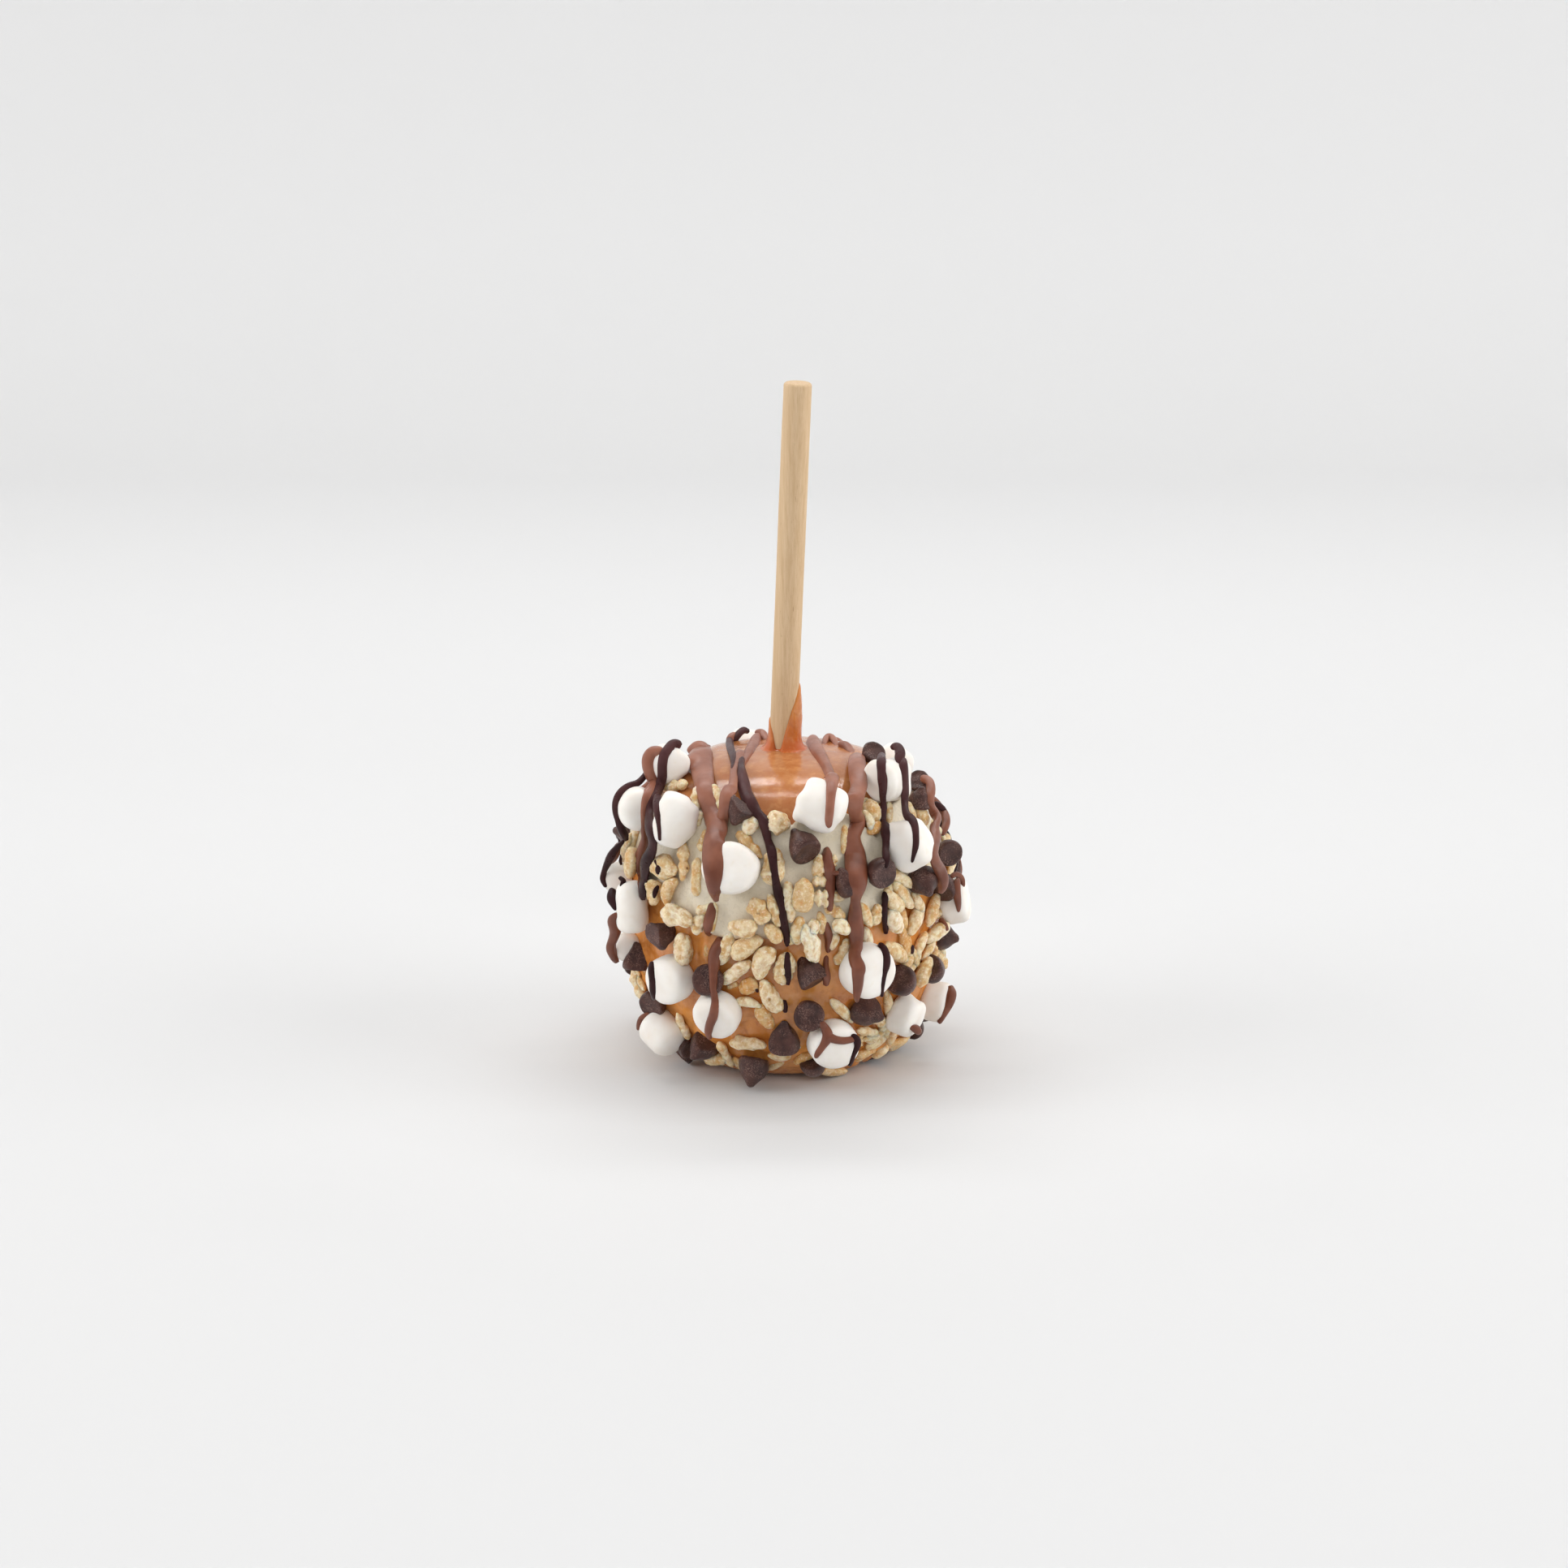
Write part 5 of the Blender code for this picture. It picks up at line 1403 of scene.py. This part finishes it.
# Where the caramel on the stick ends: degrees from the front (right +), view y of its edge.
FILM_EDGE = [(-180, 864), (-130, 877), (-95, 884), (-78, 889), (-62, 896), (-50, 904), (-38, 917), (-26, 925),
             (-16, 930), (-8, 922), (5, 906), (18, 891), (30, 878), (46, 864), (62, 854), (78, 846), (96, 841),
             (125, 848), (160, 860)]


FILLET_WIDE, FILLET_TALL = 0.0014, 0.0032


def make_film(ground):
    around, inner = 96, 6
    theta = -180 + 360 * np.arange(around) / around
    r = STICK_D / 2
    heights = np.linspace(0.050, 0.090, 161)
    top = []
    for d in theta:
        want = round_curve(FILM_EDGE, float(d))
        shown = view_points(stick_points(np.full(161, d), heights, np.full(161, r + 0.0004)))[1]
        top.append(float(np.interp(-want, -shown, heights)))
    top = np.array(top) + 0.00025 * fbm(np.stack([np.cos(np.radians(theta)), np.sin(np.radians(theta)), theta * 0], 1) * 0.003, 0.0012, 2, 89)
    # the foot runs out level with the top of the apple
    foot = np.full(around, (np.array(STICK_ENTRY) - STICK_FOOT) @ AXIS)
    entry = foot[0]
    for _ in range(3):
        p = stick_points(theta, foot, np.full(around, r + 0.0003 + FILLET_WIDE))
        level = [0.09 - ground.hit(Vector((x, y, 0.09)), Vector((0, 0, -1)), 0.05) for x, y, _ in p]
        foot = foot + (np.array(level) - p[:, 2]) / AXIS[2]
    for _ in range(6):
        foot = 0.25 * np.roll(foot, 1) + 0.5 * foot + 0.25 * np.roll(foot, -1)
    top = np.maximum(top, foot + 0.0003)
    share = np.clip((top - foot) / 0.0045, 0.12, 1)
    low = foot - 0.0014
    steps = np.array([-1.4, -0.7, -0.3, -0.08, 0.0, 0.012, 0.04, 0.09, 0.17, 0.29, 0.45, 0.68, 1.0, 1.4, 1.9, 2.5, 3.2]) * MM
    lower = foot[None] + steps[:, None] * np.where(steps[:, None] > 0, share[None], 1.0)
    t = 1 - (1 - np.linspace(0, 1, 34)[1:]) ** 1.6
    h = np.concatenate([lower, lower[-1][None] + t[:, None] * (top - lower[-1])[None]])
    rise = h - foot[None]
    west, east = np.clip(-np.sin(np.radians(theta)), 0, 1)[None], np.clip(np.sin(np.radians(theta)), 0, 1)[None]
    up = np.clip(rise / FILLET_TALL, 0, 1)
    flare = FILLET_WIDE * (1 - np.sqrt(1 - (1 - up) ** 2)) + 0.6 * np.maximum(-rise, 0)
    flare = flare * (0.35 + 0.65 * np.clip((top - foot) / 0.0030, 0, 1))[None]
    flare = flare + (0.0001 + 0.0002 * west) * np.exp(-np.maximum(rise, 0) / 0.0045)
    flare = flare + 0.0007 * east * np.clip((top[None] - h) / 0.0080, 0, 1) ** 0.8
    left = np.clip((top[None] - h) / 0.0014, 0, 1)
    body = (0.00030 + flare) * np.sqrt(1 - (1 - left) ** 2)
    p = stick_points(np.broadcast_to(theta, h.shape), h, r + body)
    hin = (low + 0.0002)[None] + np.linspace(0.96, 0.0, inner)[:, None] * (top - low)[None]
    q = stick_points(np.broadcast_to(theta, hin.shape), hin, np.full(hin.shape, r - 0.0004))
    v = np.concatenate([p.reshape(-1, 3), q.reshape(-1, 3)])
    swell = np.concatenate([body.ravel(), np.zeros(q.size // 3)])
    axis_at = ((v - STICK_FOOT) @ AXIS)[:, None] * AXIS + STICK_FOOT
    out = (v - axis_at) / np.maximum(np.linalg.norm(v - axis_at, axis=1), 1e-9)[:, None]
    v = v + out * (fbm(v, 0.0030, 2, 91) * 0.00007 * (swell > 0.0002))[:, None]
    thin = np.concatenate([np.clip((h - entry - 0.0022) / 0.0080, 0, 1).ravel(), np.zeros(q.size // 3)])
    return v, loop_faces(len(h) + inner, around), 0.9 * thin


# ------------------------------------------------------------------ seating loose toppings
def seat_shape(local, basis, px, py, embed, lift=0.0):
    """The points of a shape standing on the apple where its middle shows at that view point."""
    turn = np.array(basis)
    v = local @ turn.T
    ax, ay, off, best = px, py, 0.002, None
    for _ in range(7):
        foot, normal = seen_at(ax, ay, max(off, 0.0002))
        n = np.array(normal)
        off = -embed - float((v @ n).min()) + lift
        centre = foot + normal * off
        x, y = view_point(centre)
        miss = math.hypot(px - x, py - y)
        if best is None or miss < best[0]:
            best = (miss, centre, normal)
        ax += 0.7 * max(-6.0, min(6.0, px - x))
        ay += 0.7 * max(-6.0, min(6.0, py - y))
    return v + np.array(best[1]), best[2], best[1]


def view_way(across, up, near):
    return (RIGHT * across + UP * up - FORWARD * near).normalized()


def grain_basis(normal, clock, rng):
    """Axes of a grain that lies on the apple with its length that way in the view."""
    one = (RIGHT - normal * RIGHT.dot(normal)).normalized()
    two = normal.cross(one)
    m = np.array([[one.dot(RIGHT), two.dot(RIGHT)], [one.dot(UP), two.dot(UP)]])
    want = np.array([math.sin(math.radians(clock)), math.cos(math.radians(clock))])
    w = np.linalg.solve(m + np.eye(2) * 1e-4, want)
    stretch = float(np.linalg.norm(w))
    along = (one * float(w[0]) + two * float(w[1])).normalized()
    if stretch > 1.7:                     # too much end-on: it leans out from the apple instead
        flat = (RIGHT * want[0] + UP * want[1]).normalized()
        along = (along * 0.5 + (flat - normal * min(0.0, flat.dot(normal))) * 0.5).normalized()
    z = (normal - along * normal.dot(along)).normalized()
    return Matrix((along.cross(z), along, z)).transposed(), min(stretch, 1.6)


def lowered(v, polys, normal, reach_near):
    """Moves a shape down onto what is under it if it touches nothing yet."""
    v = np.array(v)
    for _ in range(14):
        tree = BVHTree.FromPolygons([Vector(c) for c in v], polys)
        if any(tree.overlap(other) for other in reach_near):
            break
        v = v - np.array(normal) * 0.00016
    return v - np.array(normal) * 0.00012


def on_floor(v, clear=0.0003):
    low = v[:, 2].min()
    return v + np.array([0, 0, max(0.0, clear - low)])


# ------------------------------------------------------------------ putting it together
def build_toppings():
    rng = random.Random(5)
    mallows, chips, rice = Pile(), Pile(), Pile()
    spots = [(np.array(m["centre"]), m["size"]) for m in MALLOWS]
    near = []                              # (middle, size, tree) of chips and grains

    mallow_polys = None
    for k, facts in enumerate(MALLOWS, 1):
        v = mallow_shape(facts, k)
        quads, tris = blob_faces(30, 52)
        mallows.add(v, quads, tris, rng.random())
        near.append((np.array(facts["centre"]), facts["size"],
                     BVHTree.FromPolygons([Vector(c) for c in v], quads.tolist() + tris.tolist())))

    def add_chip(v, rings, around):
        quads, tris = blob_faces(rings, around)
        v = on_floor(v)
        chips.add(v, quads, tris, rng.random())
        near.append((v.mean(0), 0.0036, BVHTree.FromPolygons([Vector(c) for c in v], quads.tolist() + tris.tolist())))
        spots.append((v.mean(0), 0.0034))

    for listed in (CHIPS, FAR_CHIPS):
        for px, py, d, share, tip, lift, cuts in listed:
            d = d * MM
            axis = view_way(*tip)
            basis = basis_from(axis, RIGHT * 0.9 + UP * 0.3 + Vector((0.01, 0.2, 0.05)))
            world_cuts = [(np.array(basis.transposed() @ view_way(*c)), at) for c, at in cuts]
            v, rings, around = chip_shape(d, d * share, rng, world_cuts)
            v, _, _ = seat_shape(v, basis, px, py, 0.0008)
            add_chip(v, rings, around)

    def add_grain(v, rings, around, painted_shade_and_stain, normal, tone, settle=True):
        quads, tris = blob_faces(rings, around)
        polys = quads.tolist() + tris.tolist()
        middle = v.mean(0)
        if settle:
            v = lowered(v, polys, normal, [t for c, size, t in near if np.linalg.norm(c - middle) < size + 0.008] + [OUTSIDE])
        v = on_floor(v)
        # the grain's own tone plus painted shade in its creases, pits and underside, with caramel stain low down
        rice.add(v, quads, tris, np.clip(tone + 0.55 * painted_shade_and_stain - 0.08, 0, 1))
        near.append((v.mean(0), 0.0035, BVHTree.FromPolygons([Vector(c) for c in v], polys)))
        spots.append((v.mean(0), 0.0022))

    for px, py, long_px, wide_px, clock, kind, tone, lift in sorted(GRAINS, key=lambda g: g[-1]):
        wide = 0.94 * wide_px / PX_MM * MM
        _, normal = seen_at(px, py, 0.0016)
        basis, stretch = grain_basis(normal, clock, rng)
        length = min(long_px / PX_MM * MM * stretch, 0.0092)
        length = max(length, wide * 1.02)
        thick = wide * rng.uniform(0.76, 0.90)
        v, rings, around, painted_shade_and_stain = grain_shape(kind, length, wide, min(thick, 0.0036), rng, True)
        v, normal, _ = seat_shape(v, basis, px, py, 0.0003, lift * MM * 0.62)
        add_grain(v, rings, around, painted_shade_and_stain, normal, tone)

    # round the sides and the back, as dense as in front
    spare = random.Random(23)

    def free(p, size, slack):
        return all(np.linalg.norm(p - c) > (size + s) * slack for c, s in spots)

    def in_view(p, normal):
        return normal.dot((EYE - Vector(p)).normalized()) > 0.12

    def scatter(count, size, slack, low, high, tries, make, first=58, last=302):
        made = 0
        for _ in range(tries):
            if made == count:
                break
            run = spare.uniform(low, high)
            degrees = spare.uniform(first, last)
            r = float(np.interp(run, ALONG, FINE_RZ[:, 0]))
            if spare.random() > r / APPLE_R:
                continue
            p, normal = outward(np.array([math.radians(degrees)]), np.array([run]))
            foot, _, _, _ = OUTSIDE.find_nearest(Vector(p[0]) + Vector(normal[0]) * 0.0015)
            normal = Vector(normal[0])
            if in_view(foot, normal) or not free(np.array(foot + normal * size * 0.8), size, slack):
                continue
            make(foot, normal)
            made += 1
        return made

    def chip_here(foot, normal):
        d = spare.uniform(6.0, 7.4) * MM
        tilt = spare.choice((0.0, 0.25, 1.2, 1.6, 2.6, 3.0))
        spin = spare.uniform(0, 2 * math.pi)
        side = normal.orthogonal().normalized()
        side.rotate(Matrix.Rotation(spin, 3, normal))
        axis = (normal * math.cos(tilt) + side * math.sin(tilt)).normalized()
        basis = basis_from(axis, normal.orthogonal() + side * 0.2)
        v, rings, around = chip_shape(d, d * spare.uniform(0.72, 0.9), rng, [])
        v = v @ np.array(basis).T
        n = np.array(normal)
        v = v + np.array(foot) + n * (-0.0009 - float((v @ n).min()))
        add_chip(v, rings, around)

    def grain_here(foot, normal):
        long_mm, wide_mm = spare.uniform(5.0, 8.8), spare.uniform(2.3, 4.4)
        kind = spare.choice("sssllppfc")
        side = normal.orthogonal().normalized()
        side.rotate(Matrix.Rotation(spare.uniform(0, 2 * math.pi), 3, normal))
        z = (normal + side * spare.uniform(-0.25, 0.25)).normalized()
        along = (side - z * z.dot(side)).normalized()
        basis = Matrix((along.cross(z), along, z)).transposed()
        v, rings, around, painted_shade_and_stain = grain_shape(kind, long_mm * MM, wide_mm * MM,
                                               wide_mm * MM * spare.uniform(0.74, 0.9), rng, False)
        v = v @ np.array(basis).T
        n = np.array(normal)
        v = v + np.array(foot) + n * (-0.0003 - float((v @ n).min()) + spare.choice((0.0, 0.0, 0.3, 0.7)) * MM)
        add_grain(v, rings, around, painted_shade_and_stain, normal, spare.choice((0.05, 0.2, 0.3, 0.35, 0.4, 0.5, 0.7)))

    made = scatter(32, 0.0035, 0.98, 0.003, 0.062, 4000, chip_here)
    made_rice = scatter(150, 0.0022, 0.98, 0.001, 0.061, 16000, grain_here)
    # and some more on the band's lower half, right behind
    at_z = lambda z: float(np.interp(z, FINE_RZ[:len(FINE_RZ) * 2 // 3, 1], ALONG[:len(FINE_RZ) * 2 // 3]))
    made_rice += scatter(30, 0.0022, 0.98, at_z(0.045), at_z(0.060), 8000, grain_here, 100, 260)
    print("chips behind", made, "grains behind", made_rice, "all grains", len(rice.v))
    return mallows, chips, rice


def build():
    mallows, chips, rice = build_toppings()
    loose = Reach()
    for pile in (mallows, chips, rice):
        loose.add(pile.arrays()[0], pile.polys())

    def drawn_up(v, normal, shell):
        """The poured surface rises a little where it meets what sticks in it."""
        most = 0.0024
        near = np.array([loose.apart(Vector(p), most) if s else most for p, s in zip(v, shell)])
        rise = 0.00070 * np.exp(-(near / 0.0010) ** 2) * (v[:, 2] > 0.001)
        return v + normal * rise[:, None], np.exp(-(near / 0.0010) ** 2)

    core, core_normal, core_quads, core_tris = make_core()
    core, _ = drawn_up(core, core_normal, np.ones(len(core), bool))
    core[:, 2] = np.maximum(core[:, 2], 0.0)
    coat, coat_normal, coat_quads, thin, shell = make_coat()
    coat, _ = drawn_up(coat, coat_normal, shell)

    caramel, white, wood, film = Pile(), Pile(), Pile(), Pile()
    caramel.add(core, core_quads, core_tris, np.clip((0.064 - core[:, 2]) / 0.016, 0, 1))
    white.add(coat, coat_quads, np.zeros((0, 3), int), thin ** 1.4 * 0.9)
    v, quads, tris = make_stick()
    wood.add(v, quads, tris, 0.0)
    ground = Reach()
    ground.add(caramel.arrays()[0], caramel.polys())
    v, quads, thin_film = make_film(ground)
    film.add(v, quads, np.zeros((0, 3), int), thin_film)

    reach, bare = Reach(), Reach()
    for pile in (caramel, white, mallows, chips, rice):
        reach.add(pile.arrays()[0], pile.polys())
    for pile in (caramel, white):
        bare.add(pile.arrays()[0], pile.polys())
    milk, dark = Pile(), Pile()
    for knots in DARK_UNDER:
        shown_strand(dark, reach, bare, knots, thick=0.0010)
    reach.add(dark.arrays()[0], dark.polys())
    for knots in MILK + MILK_FAR:
        shown_strand(milk, reach, bare, knots)
    for knots in BACK_MILK:
        round_strand(milk, reach, knots)
    reach.add(milk.arrays()[0], milk.polys())
    for knots in DARK + DARK_FAR:
        shown_strand(dark, reach, bare, knots, thick=0.0010)
    for knots in BACK_DARK:
        round_strand(dark, reach, knots, thick=0.0010)

    made = [
        (caramel.piece("apple_caramel", caramel_material()), "caramel", ["caramel_apple"]),
        (film.piece("stick_caramel", caramel_material("stick_caramel", (188, 88, 32), (204, 112, 50))), "caramel", []),
        (white.piece("white_band", white_material()), "white_confection", ["white_coat"]),
        (wood.piece("wooden_stick", wood_material()), "wood", ["stick"]),
        (mallows.piece("marshmallows", mallow_material()), "marshmallow",
         [f"marshmallow_{k + 1:02d}" for k in range(len(MALLOWS))]),
        (chips.piece("chocolate_chips", chip_material()), "dark_chocolate", []),
        (rice.piece("crisped_rice_grains", rice_material()), "crisped_rice", []),
        # each drizzle's third and fourth colours are its painted light on the upper parts of the apple
        (milk.piece("milk_drizzle", drizzle_material("milk_drizzle", srgb(102, 54, 36), srgb(124, 71, 50), srgb(137, 84, 64), srgb(156, 102, 81), 0.28, 0.42, 0.50)),
         "milk_chocolate", []),
        (dark.piece("dark_drizzle", drizzle_material("dark_drizzle", srgb(42, 22, 23), srgb(56, 31, 32), srgb(64, 38, 38), srgb(84, 54, 54), 0.26, 0.40, 0.12)),
         "dark_chocolate", []),
    ]
    for obj, slot, nodes in made:
        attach(obj, BODY)
        if nodes:
            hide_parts(*nodes)
        print(obj.name, len(obj.data.vertices), sum(len(p.vertices) - 2 for p in obj.data.polygons))


# Strands round the sides and the back: degrees, mm up along the outline, width in mm.
BACK_MILK = [
    [(100, 71, 2.4), (101, 64, 2.6), (103, 57, 2.0), (101, 50, 2.4), (102, 43, 3.0), (103, 37, 1.8)],
    [(124, 71, 3.4), (125, 67, 3.4), (124, 60, 3.0), (126, 53, 3.8), (125, 45, 3.4), (127, 37, 2.4),
     (126, 28, 2.6), (127, 22, 1.4)],
    [(147, 85, 2.4), (149, 78, 2.6), (148, 71, 2.0), (151, 60, 2.4), (150, 50, 1.2)],
    [(172, 79, 3.2), (170, 74, 4.2), (171, 67, 3.8), (174, 59, 3.2), (173, 52, 2.4), (174, 43, 1.8)],
    [(190, 72, 2.4), (192, 62, 2.8), (190, 51, 2.2), (191, 42, 2.8), (190, 33, 2.0), (191, 25, 1.3)],
    [(214, 79, 2.8), (216, 74, 3.4), (213, 66, 2.6), (214, 58, 3.2), (216, 49, 3.0), (215, 40, 1.8)],
    [(232, 83, 2.6), (234, 75, 3.0), (236, 65, 2.4), (236, 54, 2.8), (238, 45, 2.2), (237, 36, 2.8), (238, 28, 1.4)],
    [(258, 75, 1.8), (260, 68, 2.6), (258, 59, 2.0), (260, 50, 2.4), (259, 42, 1.3)],
]
BACK_DARK = [
    [(90, 68, 2.2), (92, 60, 1.6), (90, 52, 2.0), (91, 45, 1.4)],
    [(114, 70, 2.2), (111, 64, 1.6), (113, 56, 2.0), (112, 47, 1.4), (113, 38, 1.8), (112, 30, 1.0)],
    [(135, 71, 2.4), (138, 65, 2.0), (136, 56, 2.4), (138, 46, 1.6), (137, 40, 1.0)],
    [(160, 79, 1.6), (162, 72, 2.0), (160, 63, 2.4), (163, 54, 1.6), (161, 44, 2.0), (162, 36, 1.0)],
    [(182, 80, 2.0), (181, 75, 2.6), (183, 65, 2.0), (181, 57, 1.6), (183, 48, 2.0), (182, 39, 1.4), (183, 30, 1.0)],
    [(203, 79, 1.8), (205, 72, 2.4), (202, 63, 1.8), (204, 55, 2.2), (203, 46, 1.2)],
    [(225, 79, 2.0), (224, 74, 2.4), (226, 65, 1.8), (224, 55, 2.2), (226, 45, 1.6), (225, 36, 2.0), (226, 28, 1.0)],
    [(247, 77, 1.8), (249, 71, 2.2), (247, 62, 1.6), (249, 53, 2.0), (248, 44, 1.2)],
    [(268, 72, 1.6), (270, 66, 2.0), (268, 59, 1.4), (269, 51, 1.8), (268, 43, 1.0)],
]


# ------------------------------------------------------------------ studio
def flat_material(name, colour, roughness):
    n = Nodes(name)
    shade = n.make("ShaderNodeTexNoise")
    shade.inputs["Scale"].default_value = 6.0
    n.link(n.where, shade.inputs["Vector"])
    tint = n.mix(n.ramp(shade.outputs["Fac"], 0.3, 0.7), colour, tuple(c * 0.985 for c in colour))
    return n.finish(tint, roughness)


def studio():
    scene = bpy.context.scene
    scene.view_settings.view_transform = "Standard"
    scene.view_settings.look = "None"
    scene.view_settings.exposure = 0.0
    scene.view_settings.gamma = 1.0

    bm = bmesh.new()
    outline = [(-3.0, 0.0), (-1.0, 0.0), (0.0, 0.0), (0.9, 0.0)]
    outline += [(0.9 + 0.5 * math.sin(a), 0.5 - 0.5 * math.cos(a)) for a in np.linspace(0.1, math.pi / 2, 12)]
    outline += [(1.4, 3.0)]
    rows = [[bm.verts.new((x, y, z)) for x in (-1.75, 1.75)] for y, z in outline]
    for a, b in zip(rows, rows[1:]):
        bm.faces.new((a[0], a[1], b[1], b[0]))
    mesh = bpy.data.meshes.new("pale_floor")
    bm.to_mesh(mesh)
    bm.free()
    mesh.shade_smooth()
    paper = flat_material("pale_paper", (0.78, 0.78, 0.79), 0.75)
    nodes, links = paper.node_tree.nodes, paper.node_tree.links
    split, fade, shade = (nodes.new(kind) for kind in
                          ("ShaderNodeSeparateXYZ", "ShaderNodeMapRange", "ShaderNodeCombineColor"))
    for key, value in (("From Min", 0.3), ("From Max", 1.2), ("To Min", 0.665), ("To Max", 0.82)):
        fade.inputs[key].default_value = value
    links.new(nodes.new("ShaderNodeNewGeometry").outputs["Position"], split.inputs[0])
    links.new(split.outputs["Y"], fade.inputs["Value"])
    # painted light: the floor is paler within a few centimetres of the apple, lifting the shadow the apple casts there
    flat, away, near, most = (nodes.new(kind) for kind in ("ShaderNodeCombineXYZ", "ShaderNodeVectorMath",
                                                           "ShaderNodeMapRange", "ShaderNodeMath"))
    links.new(split.outputs["X"], flat.inputs["X"])
    links.new(split.outputs["Y"], flat.inputs["Y"])
    away.operation, most.operation, near.interpolation_type = "LENGTH", "MAXIMUM", "SMOOTHSTEP"
    links.new(flat.outputs[0], away.inputs[0])
    links.new(away.outputs["Value"], near.inputs["Value"])
    for key, value in (("From Min", 0.05), ("From Max", 0.17), ("To Min", 0.70), ("To Max", 0.66)):
        near.inputs[key].default_value = value
    links.new(fade.outputs["Result"], most.inputs[0])
    links.new(near.outputs["Result"], most.inputs[1])
    for channel in shade.inputs:
        links.new(most.outputs[0], channel)
    links.new(shade.outputs[0], nodes["Principled BSDF"].inputs["Base Color"])
    mesh.materials.append(paper)
    floor = bpy.data.objects.new("pale_floor", mesh)
    scene.collection.objects.link(floor)

    world = bpy.data.worlds.new("studio")
    world.use_nodes = True
    scene.world = world
    # brighter from behind and above, darker from where the viewer stands
    tree = world.node_tree
    back = tree.nodes["Background"]
    back.inputs["Color"].default_value = (1.0, 0.995, 0.99, 1)
    where = tree.nodes.new("ShaderNodeTexCoord")
    toward = tree.nodes.new("ShaderNodeVectorMath")
    toward.operation = "DOT_PRODUCT"
    toward.inputs[1].default_value = (0.0, -math.cos(math.radians(32)), math.sin(math.radians(32)))
    tree.links.new(where.outputs["Generated"], toward.inputs[0])
    ramp = tree.nodes.new("ShaderNodeMapRange")
    ramp.interpolation_type = "SMOOTHSTEP"
    for key, value in (("From Min", -0.10), ("From Max", 0.85), ("To Min", 0.84), ("To Max", 0.34)):
        ramp.inputs[key].default_value = value
    tree.links.new(toward.outputs["Value"], ramp.inputs["Value"])
    tree.links.new(ramp.outputs["Result"], back.inputs["Strength"])

    def lamp(name, place, aim, wide, deep, power, colour=(1, 1, 1)):
        data = bpy.data.lights.new(name, "AREA")
        data.shape = "RECTANGLE"
        data.size, data.size_y = wide, deep
        data.energy = power
        data.color = colour
        obj = bpy.data.objects.new(name, data)
        obj.location = place
        obj.rotation_euler = (Vector(aim) - Vector(place)).to_track_quat("-Z", "Y").to_euler()
        scene.collection.objects.link(obj)
        return obj

    middle = Vector((0, 0, 0.06))
    for name, lift, wide, deep, power in (("strip_behind", 121, 1.3, 0.055, 3.1), ("strip_over", 97, 1.1, 0.035, 1.6)):
        a = math.radians(lift)
        place = middle + Vector((0, -math.cos(a), math.sin(a))) * 0.95
        lamp(name, place, middle, wide, deep, power)
    for name, place, wide, deep, power in (("front_fill", (0.0, -1.9, 1.5), 2.4, 1.6, 12.0),
                                           ("left_fill", (-1.9, -0.4, 0.9), 1.5, 1.3, 20.0),
                                           ("right_fill", (1.9, -0.4, 0.9), 1.5, 1.3, 23.0)):
        lamp(name, place, middle, wide, deep, power).visible_glossy = False

    data = bpy.data.cameras.new("view")
    data.lens = 36.0 * VIEW_FOCAL / 1932.0
    data.sensor_width = 36.0
    data.sensor_fit = "HORIZONTAL"
    data.clip_start, data.clip_end = 0.01, 20.0
    camera = bpy.data.objects.new("view", data)
    camera.location = EYE
    camera.rotation_euler = (math.pi / 2 - VIEW_PITCH, 0.0, 0.0)
    scene.collection.objects.link(camera)
    scene.camera = camera


build()
studio()
